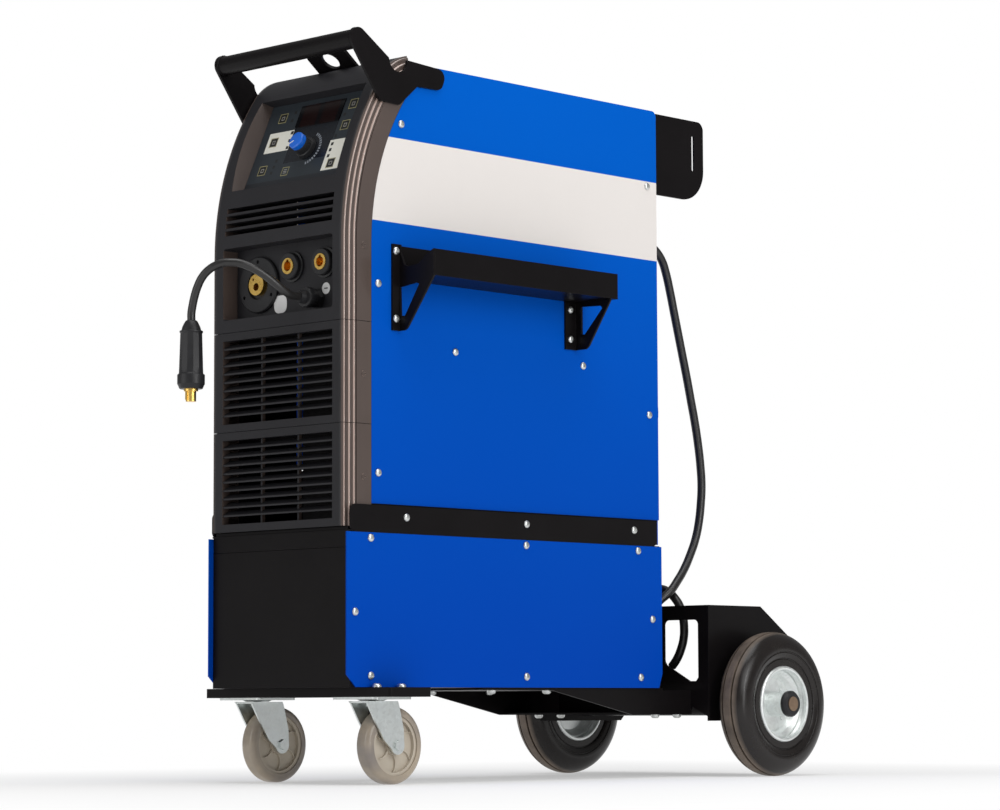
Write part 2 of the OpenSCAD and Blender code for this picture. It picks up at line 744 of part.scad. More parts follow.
module top_cover() {
    w = inner_w - seat;
    y0 = hood_back + gap;
    color(blue) from_front() union() {
        box([-w, y0, z_top - sheet], [w, cab_d - 8, z_top]);
        for (x = [-w, w - sheet]) box([x, y0, z_top - 12], [x + sheet, cab_d - 12, z_top]);
    }
}

module rear_panel() {
    w = inner_w - seat;
    y1 = cab_d;
    color(blue) from_front() difference() {
        union() {
            box([-w, y1 - sheet, z_chassis + seat], [w, y1, z_top - 9]);
            box([-w, y1 - 12, z_top - 12 - sheet], [w, y1, z_top - 12]);
            // fan guard ring pressed outwards
            translate([fan_x, y1 - sheet, fan_z]) rotate([-90, 0, 0])
                cylinder(h = sheet + 3, r = fan_d / 2 - 8);
            // motor pin that carries the fan
            y_cyl(y1 - 44, y1 - sheet + eps, fan_x, fan_z, fan_pin_r);
            y_cyl(y1 - 9, y1 - sheet + eps, fan_x, fan_z, 12);
        }
        // concentric slots of the fan guard, with four spokes left standing
        translate([fan_x, y1 - sheet - 1, fan_z]) rotate([-90, 0, 0]) difference() {
            for (r = [15 : 10 : fan_d / 2 - 16]) difference() {
                cylinder(h = 12, r = r + 6);
                translate([0, 0, -1]) cylinder(h = 14, r = r);
            }
            for (a = [45, 135]) rotate([0, 0, a]) translate([-fan_d, -3, -1]) cube([2 * fan_d, 6, 14]);
        }
        // holes for the power switch, the mains gland and the gas inlet
        y_cyl(y1 - 9, y1 + 1, switch_x, switch_z, switch_r + run_fit);
        y_cyl(y1 - 9, y1 + 1, inlet_x, inlet_z, mains_d / 2 + 3);
        y_cyl(y1 - 9, y1 + 1, gas_x, gas_z, 5 + snug);
    }
}

// ---------------------------------------------------------------- moulded front

// section of the straight front: 2-D x is depth behind the face, 2-D y is the width direction
rib_d = [4.4, 11.2, 18];                  // depths of the flank's three round ribs
rib_x = [-1.4, 0.9, 2.6];                 // their places beyond the side of the plain face
strip_in = 20.5;                          // depth at which the flat side strip starts
module rib_section() {
    for (k = [0 : 2], s = [-1, 1]) translate([rib_d[k], s * (face_w / 2 + rib_x[k])]) circle(2.8, $fn = fine);
}
module front_section() {
    f = face_w / 2;
    union() {
        translate([0, -f]) square([strip_d, 2 * f]);
        translate([6, -f - 1.2]) square([strip_d - 6, 2 * f + 2.4]);
        translate([12, -f - 3.2]) square([strip_d - 12, 2 * f + 6.4]);
        translate([strip_in, -cab_w / 2]) square([strip_d - strip_in, cab_w]);
        rib_section();
    }
}
module straight_front(z0, z1) {
    translate([0, 0, z0]) linear_extrude(z1 - z0) rotate([0, 0, 90]) front_section();
}

// side view of all that lies more than inset behind the curved face
module behind_face(inset, back) {
    intersection() {
        translate([-1, z_ctl + 0.3]) square([back + 1, crest_z]);
        union() {
            translate([inset, z_ctl]) square([back, z_nose - z_ctl]);
            intersection() {
                translate([nose_r, z_nose]) circle(nose_r - inset, $fn = 180);
                polygon([[nose_r, z_nose - 1], [-1, z_nose - 1],
                         [-1, z_nose + (nose_r + 1) * tan(nose_angle)], [nose_r, z_nose]]);
            }
            translate([brow_y, brow_z]) circle(brow_r - inset, $fn = 120);
            translate([brow_y, z_nose]) square([back, crest_z - inset - z_nose]);
        }
    }
}
module face_band(inset) {
    difference() {
        behind_face(inset, hood_back);
        behind_face(strip_d, hood_back + 1);
        // step at the crest, down to the top of the cabinet
        translate([crest_y - hood_step, z_top]) square(99);
    }
}
// the round ribs, up the face and round both arcs to the hood's step
module curved_ribs() {
    translate([0, 0, z_ctl + 0.3]) linear_extrude(z_nose - z_ctl - 0.3) rotate([0, 0, 90]) rib_section();
    translate([0, nose_r, z_nose]) rotate([90, 0, -90])
        rotate_extrude(angle = nose_angle, $fn = 180) translate([nose_r, 0]) mirror([1, 0]) rib_section();
    translate([0, brow_y, brow_z]) rotate([90, 0, -90]) rotate([0, 0, nose_angle])
        rotate_extrude(angle = 90 - nose_angle - asin(hood_step / brow_r), $fn = 120)
            translate([brow_r, 0]) mirror([1, 0]) rib_section();
}

// frame of the control panel: x across, y up the slope, z out of the panel
module on_panel() {
    translate([0, panel_y0, z_ledge]) rotate([90 - panel_tilt, 0, 0]) children();
}

// a slot's outline in the face, with its ends drawn in by large arcs
module bowed_opening(z0, z1, w) {
    zc = (z0 + z1) / 2;
    intersection() {
        translate([-w / 2, z0]) square([w, z1 - z0]);
        for (s = [-1, 1]) translate([s * (700 - w / 2), zc]) circle(700, $fn = 360);
    }
}

// small round plug in the side strip
module strip_plugs(z) {
    both_sides() difference() {
        x_cyl(cab_w / 2 - 1, cab_w / 2 + 0.7, strip_d - 12, z, 4.6);
        x_cyl(cab_w / 2 - 0.5, cab_w / 2 + 1, strip_d - 12, z, 1.6);
    }
}

// hollow of the straight front: narrow behind the ribs, wide behind the side strip
module straight_hollow(z0, z1) {
    w = mould_wall;
    box([-face_w / 2 + w, w, z0], [face_w / 2 - w, strip_d + 1, z1]);
    box([-cab_w / 2 + w, 22, z0], [cab_w / 2 - w, strip_d + 1, z1]);
}

module control_module() {
    o = opening_w / 2;
    w = mould_wall;
    color(charcoal) from_front() difference() {
        union() {
            difference() {
                union() {
                    side_plate(-face_w / 2, face_w) face_band(0);
                    side_plate(-cab_w / 2, cab_w) face_band(strip_in);
                    both_sides() side_plate(face_w / 2 - 1, 2.2) face_band(6);
                    both_sides() side_plate(face_w / 2 - 1, 4.2) face_band(12.5);
                    curved_ribs();
                }
                straight_hollow(z_ctl - 1, z_nose - 4);
                // hollow behind the curved face, behind the recess and the vents
                side_plate(w - cab_w / 2, cab_w - 2 * w) intersection() {
                    behind_face(22, hood_back + 1);
                    translate([0, z_nose - 5]) square([hood_back + 1, crest_z]);
                }
            }
            // walls of the connector bay
            box([-o - w, 1, z_bay - w], [o + w, bay_plate_y, z_bay + bay_h + w]);
            strip_plugs(z_nose - 4);
        }
        // connector bay
        front_plate(-1, bay_plate_y + 2) rounded_rect(-o, z_bay, o, z_bay + bay_h, 4);
        // recess of the control panel, drawn out to the face
        hull() {
            on_panel() translate([-panel_w / 2, 0, 0]) cube([panel_w, panel_len, 0.1]);
            on_panel() translate([-o - 1, -5, 26]) cube([2 * o + 2, panel_len + 4, 0.1]);
        }
        // knob shaft
        on_panel() translate([knob_x, knob_s, -30]) cylinder(h = 40, r = shaft_d / 2 + 1.5);
        // four vent slots
        for (k = [0 : 3]) front_plate(-1, strip_d)
            bowed_opening(z_vent + k * 10, z_vent + k * 10 + 6.5, opening_w - 4);
        // room for the cabinet's sides and for the lifting plate
        both_sides() side_plate(inner_w - seat, 10) intersection() {
            translate([nose_r, z_nose]) circle(nose_r - strip_d - 0.2, $fn = 180);
            translate([0, z_nose]) square([nose_r, z_top + seat - z_nose]);
        }
        at_lift() translate([-lift_w / 2 - 1, -30, -lift_t - 1])
            cube([lift_w + 2, 30 + lift_len, lift_t + 2]);
    }
}

// one grille module: a frame with a bowed opening, louvres and two stiffeners
module grille_module(z0) {
    w = mould_wall;
    zb = z0 + (module_h - grille_h) / 2;
    pitch = grille_h / (louvre_count + 1);
    color(charcoal) from_front() union() {
        difference() {
            straight_front(z0 + 0.3, z0 + module_h - 0.3);
            straight_hollow(z0 - 1, z0 + module_h + 1);
            front_plate(-1, w + 2) bowed_opening(zb, zb + grille_h, opening_w);
        }
        strip_plugs(z0 + module_h * 0.485);
        // lip round the opening
        front_plate(w - eps, 9) difference() {
            bowed_opening(zb - 2, zb + grille_h + 2, opening_w + 4);
            bowed_opening(zb, zb + grille_h, opening_w);
        }
        // louvres, sloping down to the front
        for (k = [1 : louvre_count]) intersection() {
            translate([-opening_w / 2, 1, zb + k * pitch]) rotate([28, 0, 0])
                translate([0, 0, -louvre_t / 2]) cube([opening_w, 12.5, louvre_t]);
            front_plate(0, 14) bowed_opening(zb - 2, zb + grille_h + 2, opening_w + 1);
        }
        for (x = [-opening_w / 6, opening_w / 6]) box([x - 1.5, 6, zb - 2], [x + 1.5, 11, zb + grille_h + 2]);
    }
}
module grille_module_mid() { grille_module(z_mid); }
module grille_module_low() { grille_module(z_mod); }

module control_panel() {
    color([0.20, 0.22, 0.26]) from_front() on_panel() difference() {
        translate([-panel_w / 2 + 0.3, 0.3, 0]) cube([panel_w - 0.6, panel_len - 0.6, 1.5]);
        translate([knob_x, knob_s, -1]) cylinder(h = 4, r = shaft_d / 2 + run_fit);
    }
}

module display_window() {
    color([0.10, 0.10, 0.12]) from_front() on_panel()
        translate([lens_x - 42, lens_s - 16, 1.5]) linear_extrude(1.2) rounded_rect(0, 0, 84, 33, 2);
}

module knob() {
    r = knob_d / 2;
    color([0.0, 0.33, 0.75]) from_front() on_panel() translate([knob_x, knob_s, 0]) union() {
        rotate_extrude() polygon([[0, 1.8], [r + 3.5, 1.8], [r + 2.5, 8], [r + 0.5, knob_len - 8],
            [r, knob_len - 8], [r, knob_len - 1.5], [r - 1.5, knob_len], [0, knob_len]]);
        translate([0, 0, -16]) cylinder(h = 20, r = shaft_d / 2);
    }
}

// ---------------------------------------------------------------- connectors

module connector_plate() {
    o = opening_w / 2 + mould_wall;
    color(charcoal) from_front() difference() {
        box([-o, bay_plate_y, z_bay - mould_wall], [o, bay_plate_y + 3, z_bay + bay_h + mould_wall]);
        for (x = dinse_x) y_cyl(bay_plate_y - 1, bay_plate_y + 4, x, dinse_z, 14);
        y_cyl(bay_plate_y - 1, bay_plate_y + 4, euro_x, euro_z, 21);
        y_cyl(bay_plate_y - 1, bay_plate_y + 4, gland_x, gland_z, 8);
    }
}

// black collars: two round sockets and the torch socket's flange
module socket_bodies() {
    y0 = bay_plate_y;
    color([0.12, 0.12, 0.13]) from_front() {
        for (x = dinse_x) difference() {
            union() {
                y_turned(x, y0 - 10, dinse_z) polygon([[10.4, 0], [16.5, 0], [17.5, 1.5], [17.5, 6.5],
                    [20, 7], [20, 10], [10.4, 10]]);
                y_cyl(y0 - 1, y0 + 14, x, dinse_z, 13.8);
            }
            y_cyl(y0 - 11, y0 + 15, x, dinse_z, 10.4 + snug);
        }
        // dished flange with three screw holes
        difference() {
            union() {
                y_turned(euro_x, y0 - 5, euro_z)
                    polygon([[0, 4], [18, 4], [19.5, 0], [35.5, 0], [37, 1.5], [37, 5], [0, 5]]);
                y_cyl(y0 - 1, y0 + 30, euro_x, euro_z, 20.8);
            }
            y_cyl(y0 - 6, y0 + 31, euro_x, euro_z, euro_r + snug);
            for (a = [90, 210, 330])
                y_cyl(y0 - 6, y0 - 2, euro_x + 30 * cos(a), euro_z + 30 * sin(a), 2.4);
        }
    }
}

// brass contacts: keyed socket sleeves and the torch socket's block with its pilot hole
module socket_contacts() {
    y0 = bay_plate_y;
    color(brass) from_front() {
        for (x = dinse_x) difference() {
            y_cyl(y0 - 11, y0 + 18, x, dinse_z, 10.4);
            y_cyl(y0 - 12, y0 + 10, x, dinse_z, dinse_bore / 2);
            box([x - 1.8, y0 - 12, dinse_z], [x + 1.8, y0 + 2, dinse_z + 8.4]);
        }
        difference() {
            y_cyl(torch_sunk, y0 + 34, euro_x, euro_z, euro_r);
            y_cyl(torch_sunk - 1, y0 + 26, euro_x, euro_z - 3, euro_bore / 2);
            y_cyl(torch_sunk - 1, torch_sunk + 8, euro_x - 5.5, euro_z + 7, 1.7);
        }
    }
}

// ---------------------------------------------------------------- polarity lead

// route of the polarity lead, straight out of its gland, over in an arch and down to the plug
lead_exit_y = -gland_out;
plug_x = -27.5;
plug_y = -120;
plug_top = 584;
lead_route = [
    [gland_x, lead_exit_y, gland_z], [gland_x, -20, gland_z], [51, -33, 622], [49, -46, 630],
    [45, -58, 638.5], [40, -69, 645.5], [34, -79, 651], [27.5, -88, 654.5], [20, -96, 655.5], [13, -102, 655],
    [5.5, -108, 652], [-2.5, -113, 646.5], [-10, -117, 638], [-17, -119, 626], [-22, plug_y, 613],
    [-25.5, plug_y, 602], [plug_x, plug_y, 593], [plug_x, plug_y, plug_top]];

module polarity_gland() {
    color([0.11, 0.11, 0.12]) from_front() difference() {
        union() {
            y_cyl(2, bay_plate_y + 12, gland_x, gland_z, 7.9);
            translate([gland_x, bay_plate_y - 7, gland_z]) rotate([-90, 0, 0])
                cylinder(h = 7, r = 13, $fn = 6);
            y_turned(gland_x, lead_exit_y, gland_z) polygon([[lead_d / 2 - 1, 0], [lead_d / 2 + 2, 0],
                [lead_d / 2 + 3.4, 6], [lead_d / 2 + 4.6, 18], [12, 19], [12, bay_plate_y - 7 - lead_exit_y],
                [0, bay_plate_y - 7 - lead_exit_y], [0, 12], [lead_d / 2 - 1, 12]]);
        }
        y_cyl(lead_exit_y - 1, lead_exit_y + 6, gland_x, gland_z, lead_d / 2 - 0.9);
    }
}

module polarity_lead() {
    color([0.16, 0.15, 0.15]) from_front() swept_tube(lead_route, lead_d, 12, [0, 0, 1]);
}

module polarity_plug() {
    color([0.12, 0.12, 0.12]) from_front() translate([plug_x, plug_y, plug_top]) rotate([180, 0, 0])
        rotate_extrude() polygon([[0, 0], [lead_d / 2 + 1, 0], [9, 3], [11.5, 8], [12.5, 13], [14.8, 14],
            [15.3, 18], [15.6, plug_len - 19], [17.4, plug_len - 17], [17.4, plug_len - 5],
            [16, plug_len - 3], [16, plug_len], [0, plug_len]]);
}

module plug_pin() {
    z1 = plug_top - plug_len;
    color(brass) from_front() union() {
        z_cyl(z1 - pin_len, z1, plug_x, plug_y, plug_pin_d / 2);
        z_cyl(z1 - 3, z1, plug_x, plug_y, 9);
        box([plug_x - 1.7, plug_y - 8.2, z1 - pin_len + 2], [plug_x + 1.7, plug_y, z1]);
    }
}

// ---------------------------------------------------------------- mains lead

relief_len = 20;                          // length of the mains lead's tapered strain relief
relief_y = cab_d + relief_len;

module mains_gland() {
    color([0.12, 0.12, 0.13]) from_front() union() {
        y_cyl(cab_d - sheet - 4, cab_d, inlet_x, inlet_z, mains_d / 2 + 2.8);
        translate([inlet_x, cab_d - sheet - 6, inlet_z]) rotate([-90, 0, 0]) cylinder(h = 6, r = 14, $fn = 6);
        y_turned(inlet_x, cab_d, inlet_z) polygon([[0, 0], [14, 0], [14, 2], [mains_d / 2 + 4, 3],
            [mains_d / 2 + 1.6, relief_len], [0, relief_len]]);
    }
}

// The lead's spare length lies as a coil on the platform: four layers, each one turn that
// spirals in or out, climbing a layer in the half turn where the spiral reverses.
coil_x = -84;
coil_y = wall_y + carrier_t + 73;
coil_out = 66.4;                          // largest radius of the lead's middle line
coil_step = mains_d + 0.8;                // distance between neighbouring turns
coil_turns = 85 / 24;
coil_start = -150;                        // direction of the first turn's start from the middle
coil_z = platform_z + mains_d / 2 + 0.2;

function clamp01(v) = min(1, max(0, v));
function coil_radius(u) = coil_out - coil_step + coil_step * abs(u - 2 * floor(u / 2) - 1);
function coil_climb(u) = clamp01(2 * u - 1.5) + clamp01(2 * u - 3.5) + clamp01(2 * u - 5.5);
function coil_angle(u) = coil_start - 360 * u;
function coil_point(u) = [coil_x + coil_radius(u) * cos(coil_angle(u)),
    coil_y + coil_radius(u) * sin(coil_angle(u)), coil_z + coil_step * coil_climb(u)];
function coil_heading(u) = [sin(coil_angle(u)), -cos(coil_angle(u)), 0];
coil_first = coil_point(0) - mains_d * coil_heading(0);
coil_last = coil_point(coil_turns) + mains_d * coil_heading(coil_turns);
coil_path = concat([coil_first], [for (k = [0 : round(24 * coil_turns)]) coil_point(k / 24)], [coil_last]);

// least distance between parts of the coil at least half a turn apart, less the lead's diameter
coil_gap = min([for (i = [0 : len(coil_path) - 13]) min([for (j = [i + 12 : len(coil_path) - 1])
    norm(coil_path[i] - coil_path[j])])]) - mains_d;
echo(coil_least_gap_mm = coil_gap);

// first stretch: out of the strain relief, down in a long bow, behind the box and through the
// cross wall's window to the coil
mains_route = [
    [inlet_x, relief_y, inlet_z], [80, 625, 746], [80, 638, 744], [80, 651, 737], [80, 662, 726],
    [80, 670, 710], [80, 679, 683], [80, 687, 655], [80, 696, 624], [80, 705, 593],
    [80, 714, 562], [80, 722, 532],
    [80, 730, 502], [80, 737, 470], [80, 742, 438], [80, 744, 410], [80, 742, 385], [80, 738, 361],
    [81, 729, 335], [82, 715, 310], [83, 700, 289], [84, 684, 272], [84, 668, 257], [80, 657, 248],
    [74, 648, 239], [60, 631, 221], [40, 618, 204], [17, 610, 189], [-8, 607, 176], [-33, 609, 165],
    [-58, 617, 155], [-82, 631, 149], [-107, 648, 146], [-124, 667, 142],
    coil_first - 9 * coil_heading(0), coil_first];

// last stretch: up from the coil, over in an arch and down to the stripped end
tail_route = [
    coil_last, coil_last + 6 * coil_heading(coil_turns), [-18, 724, 179], [-16, 712, 185], [-14, 702, 194],
    [-11, 694, 206], [-7, 688, 218], [-2, 685, 231], [6, 683, 243], [17, 682, 253], [30, 682, 259],
    [44, 682, 262],
    [58, 682, 262], [71, 682, 257], [82, 682, 248], [91, 682, 236], [96, 682, 222], [98, 682, 207],
    [97, 682, 192], [92, 682, 177], [84, 682, 163], [75, 682, 153]];
tail_end = tail_route[len(tail_route) - 1];

cord_black = [0.10, 0.10, 0.10];
module mains_lead() { color(cord_black) from_front() swept_tube(mains_route, mains_d, 10, [1, 0, 0]); }
module mains_coil() { color(cord_black) from_front() swept_tube(coil_path, mains_d, 6, [0, 0, 1]); }
module mains_tail() { color(cord_black) from_front() swept_tube(tail_route, mains_d, 10, [0, 0, 1]); }

// three insulated cores that fan out of the stripped end over the platform
core_d = 3.6;
function core_start(a, d) = tail_end + 2.4 * cos(a) * [0, 1, 0] + 2.4 * sin(a) * [0.7433, 0, -0.669]
    + d * [-0.669, 0, -0.7433];
core_routes = [
    [core_start(0, 0), core_start(0, 5), [70, 685, 143], [74, 684, 137.5], [82, 682, 135], [92, 680, 134.2],
     [102, 679, 134.2]],
    [core_start(120, 0), core_start(120, 5), [72, 678, 141], [76, 675, 136.5], [84, 673, 134.6],
     [94, 671, 134.2], [106, 670, 134.2]],
    [core_start(240, 0), core_start(240, 5), [63, 680, 149], [55, 679, 150], [47, 678, 154]]];
module mains_cores() {
    color([0.2, 0.5, 0.3]) from_front() for (r = core_routes) swept_tube(r, core_d, 8, [0, 1, 0]);
}

// ---------------------------------------------------------------- handle and brackets

grip_y = 20.5;
grip_z = z_top + grip_rise;

// plate that carries the tube, stands on the side of the hood and runs back along its top edge
module handle_outline() {
    t = z_top;
    difference() {
        handle_blank(t);
        translate([90.5, t + 1]) circle(16.5);
    }
}
module handle_blank(t) {
    union() {
        hull() {
            translate([grip_y, grip_z]) circle(grip_d / 2 + 1.5, $fn = 32);
            translate([78, t - 8]) circle(5, $fn = 24);
            translate([62, t - 50]) circle(7, $fn = 24);
        }
        hull() {
            translate([62, t - 50]) circle(7, $fn = 24);
            translate([92, t - 55]) circle(3, $fn = 24);
            translate([78, t - 8]) circle(5, $fn = 24);
            translate([124, t - 27]) circle(3, $fn = 24);
            translate([104, t - 1]) circle(3, $fn = 24);
        }
        hull() {
            translate([104, t - 9]) circle(11, $fn = 24);
            translate([163, t - 13]) circle(11.5, $fn = 32);
            translate([161, t - 18]) circle(11.5, $fn = 32);
            translate([122, t - 19]) circle(11, $fn = 24);
        }
    }
}
module handle() {
    w = cab_w / 2;
    color(black) from_front() difference() {
        union() {
            x_cyl(-w - handle_t / 2, w + handle_t / 2, grip_y, grip_z, grip_d / 2);
            side_plate(w, handle_t) handle_outline();
            side_plate(-w - handle_t, handle_t) handle_outline();
        }
        x_cyl(-w - handle_t / 2, w + handle_t / 2, grip_y, grip_z, grip_d / 2 - grip_wall);
    }
}

// bent plate with the crane eye: it rises from the divider through a slot in the hood
lift_w = 72;
lift_t = 4;
lift_tilt = 37;
lift_y = 80;
lift_z = z_top + 33;
lift_foot = z_top - 20;                   // top of the divider, which carries the plate
lift_len = (lift_z - lift_foot - lift_t) / sin(lift_tilt) + 1;
module at_lift() { translate([0, lift_y, lift_z]) rotate([-lift_tilt, 0, 0]) children(); }
module lifting_plate() {
    foot_y = lift_y + lift_len * cos(lift_tilt);
    color(black) from_front() union() {
        box([-lift_w / 2, foot_y - 2, lift_foot], [lift_w / 2, foot_y + 56, lift_foot + lift_t]);
        at_lift() translate([0, 0, -lift_t]) linear_extrude(lift_t) difference() {
            union() {
                rounded_rect(-lift_w / 2, 0, lift_w / 2, lift_len, 13);
                translate([-lift_w / 2, 20]) square([lift_w, lift_len - 20]);
            }
            translate([0, eye_d / 2 + 8]) circle(eye_d / 2);
        }
    }
}

module strap_outline() {
    y0 = cab_d;
    y1 = cab_d + strap_reach;
    difference() {
        union() {
            translate([y0, z_top - 117]) square([57, 113]);
            translate([y0, z_top - 72]) square([strap_reach, 58]);
            translate([y1 - 12, z_top - 15]) circle(12);
            translate([y0, z_top - 15]) square([strap_reach - 12, 12]);
            translate([y1 - 45, z_top - 72]) circle(45);
        }
        rounded_rect(y0 + 77, z_top - 75, y0 + 82.5, z_top - 24, 2.5);
    }
}
module strap_plates() {
    x0 = cab_w / 2 - plate_t;
    color(black) from_front() for (s = [0, 1]) mirror([s, 0, 0]) union() {
        side_plate(x0, plate_t) strap_outline();
        box([x0 - 20, cab_d, z_top - 112], [x0 + plate_t, cab_d + plate_t, z_top - 10]);
    }
}

shelf_y = [81, 406];                      // front edges of the two bracket flanges
shelf_web = [93, 426];                    // front faces of the two webs
shelf_top = z_cab + 333;
shelf_floor = z_cab + 288;                // underside of the shelf
shelf_end = 442;
module front_web() {
    x0 = cab_w / 2;
    x1 = x0 + shelf_reach;
    t = shelf_top;
    difference() {
        // notched top edge, straight outer edge and a slanted foot
        polygon([[x0, t], [x0 + 4, t], [x0 + 4.5, t - 10], [x0 + 12, t - 27], [x0 + 19, t - 29.5],
                 [x0 + 37, t - 28], [x0 + 46, t - 22], [x0 + 55, t - 15.5], [x1 - 3, t - 12],
                 [x1, t - 11], [x1, t - 45],
                 [x0 + 17, t - 108], [x0 + 12, t - 111], [x0, t - 111]]);
        polygon([[x0 + 4, t - 55], [x0 + 34, t - 51.5], [x0 + 38.5, t - 54], [x0 + 13, t - 92.5],
                 [x0 + 5, t - 92]]);
    }
}
module rear_web() {
    x0 = cab_w / 2;
    x1 = x0 + shelf_reach;
    t = shelf_floor;
    difference() {
        polygon([[x0, t], [x1, t], [x1, t - 3], [x0 + 26, t - 61], [x0 + 20, t - 65], [x0, t - 65]]);
        polygon([[x0 + 13, t - 7], [x0 + 48, t - 8.5], [x0 + 51, t - 12], [x0 + 19, t - 45],
                 [x0 + 13, t - 44]]);
    }
}
shelf_screws = [[87, shelf_top - 9], [87, shelf_top - 96],
                [415.5, shelf_floor - 11], [415.5, shelf_floor - 51]];
module shelf_brackets() {
    color(black) from_front() difference() {
        union() {
            box([cab_w / 2, shelf_y[0], shelf_top - 111],
                [cab_w / 2 + plate_t, shelf_web[0] + plate_t, shelf_top]);
            front_plate(shelf_web[0], plate_t) front_web();
            box([cab_w / 2, shelf_y[1], shelf_floor - 65],
                [cab_w / 2 + plate_t, shelf_web[1] + plate_t, shelf_floor]);
            front_plate(shelf_web[1], plate_t) rear_web();
        }
        for (p = shelf_screws) x_cyl(cab_w / 2 - 1, cab_w / 2 + 6, p[0], p[1], 2.7);
    }
}
// channel between the brackets: floor, tall back on the cabinet and a lower outer wall
module shelf_tray() {
    x0 = cab_w / 2;
    x1 = x0 + shelf_reach;
    y0 = shelf_web[0] + plate_t;
    color(black) from_front() union() {
        box([x0, y0, shelf_floor], [x1, shelf_end, shelf_floor + plate_t]);
        box([x0, y0, shelf_floor], [x0 + plate_t, shelf_end, shelf_top - 2]);
        box([x1 - plate_t, y0, shelf_floor], [x1, shelf_end, shelf_floor + 34]);
    }
}

// ---------------------------------------------------------------- fasteners

// pan-head screw on a side panel, head towards +X
module side_screw(x, y, z) {
    translate([x, y, z]) rotate([0, 90, 0]) rotate_extrude($fn = 24)
        polygon([[0, 0], [5.2, 0], [5.2, 1], [4, 2.4], [2, 3], [2, 1.6], [0, 1.6]]);
}
rear_edge = cab_d - 20;                   // line of the screws along the rear edges
upper_screws = [[99, z_top - 82], [rear_edge, z_top - 108], [strip_d + 12, z_cab + 280], [197, z_cab + 203],
                [cab_d - 154, z_cab + 203], [rear_edge, z_cab + 145], [strip_d + 12, z_cab + 39]];
rim_screws = [104, 326, cab_d - 57];
lower_screws = [[41, 187], [325, 187], [cab_d - 49, 187], [14, 94], [rear_edge, 94], [41, 14.5], [325, 14.5],
                [cab_d - 45, 14.5]];
// bolt of a caster's top plate with its head at height z
module caster_screw(z, x, y) {
    union() {
        z_cyl(z, z + 5, x, y, 6);
        z_cyl(z_plate - 3, z + 1, x, y, bolt_hole_r - snug);
    }
}
module screws() {
    color(zinc) from_front() {
        for (p = upper_screws) side_screw(cab_w / 2, p[0], p[1]);
        for (p = shelf_screws) side_screw(cab_w / 2 + plate_t, p[0], p[1]);
        mirror([1, 0, 0]) for (p = upper_screws)
            if (p[0] < door_y0 - 20 || p[0] > door_y1 + 10) side_screw(cab_w / 2, p[0], p[1]);
        for (s = [0, 1]) mirror([s, 0, 0]) {
            for (y = rim_screws) side_screw(box_w / 2, y, z_tray + 20);
            for (p = lower_screws) side_screw(box_w / 2, p[0], z_box + p[1]);
            for (dx = [-plate_dx, plate_dx], dy = [-plate_dy, plate_dy])
                caster_screw(dx < 0 ? z_box + sheet : z_box, caster_x + dx, swivel_y + dy);
            for (y = [282, 388, cab_d - 95])
                z_cyl(z_box - carrier_t - 5, z_box - carrier_t, gusset_x - 18, y, 6);
            for (y = [cab_d + 8, cab_d + 54]) z_cyl(carrier_z + 4, carrier_z + 9, gusset_x - 16, y, 6);
        }
    }
}

// ---------------------------------------------------------------- inside the cabinet

module fan_rotor() {
    hub_len = 24.7;
    color([0.14, 0.14, 0.15]) from_front() translate([fan_x, cab_d - 9 - gap - hub_len, fan_z])
        rotate([-90, 0, 0]) difference() {
            union() {
                cylinder(h = hub_len, r = 22);
                for (a = [0 : 72 : 288]) rotate([0, 0, a]) translate([20, 0, 12]) rotate([32, 0, 0])
                    translate([0, -14, -1]) cube([fan_d / 2 - 33, 28, 2]);
            }
            translate([0, 0, -1]) cylinder(h = hub_len + 2, r = fan_pin_r + run_fit);
        }
}

// rotary mains switch: dial, grip bar, shaft and inner collar
module power_switch() {
    y0 = cab_d;
    color(black) from_front() union() {
        y_cyl(y0 - sheet - gap - 6, y0 - sheet - gap, switch_x, switch_z, 12);
        y_cyl(y0 - sheet - 4, y0 + 2, switch_x, switch_z, switch_r);
        y_cyl(y0 + gap, y0 + 7, switch_x, switch_z, 20);
        box([switch_x - 4, y0 + 6, switch_z - 18], [switch_x + 4, y0 + 16, switch_z + 18]);
    }
}

// brass hose nipple with its nuts
module gas_inlet() {
    y0 = cab_d;
    color(brass) from_front() union() {
        y_cyl(y0 - sheet - 2, y0 + 1, gas_x, gas_z, 5);
        for (y = [y0 - sheet - 5, y0]) translate([gas_x, y, gas_z]) rotate([-90, 0, 0])
            cylinder(h = 5, r = 9, $fn = 6);
        y_turned(gas_x, y0 + 4, gas_z) polygon([[0, 0], [4.5, 0], [4.5, 6], [3.6, 6], [4.6, 9], [3.6, 12],
            [4.6, 15], [3.4, 19], [0, 19]]);
    }
}

// heat sink of the power stage: a base with upright fins
module power_block() {
    y0 = 120;
    y1 = 420;
    x0 = 16;
    color([0.60, 0.62, 0.63]) from_front() union() {
        box([x0, y0, z_mod], [x0 + 93, y1, z_mod + 9]);
        for (k = [0 : 9]) box([x0 + 10 * k, y0, z_mod + 8], [x0 + 10 * k + 3, y1, z_mod + 150]);
    }
}

module wire_spool() {
    r = spool_d / 2;
    color([0.25, 0.25, 0.27]) from_front() x_turned(spool_x, spool_y, spool_z) difference() {
        translate([spindle_r + run_fit, -spool_w / 2]) square([r - spindle_r - run_fit, spool_w]);
        translate([r - 18, -spool_w / 2 + 4]) square([30, spool_w - 8]);
    }
}

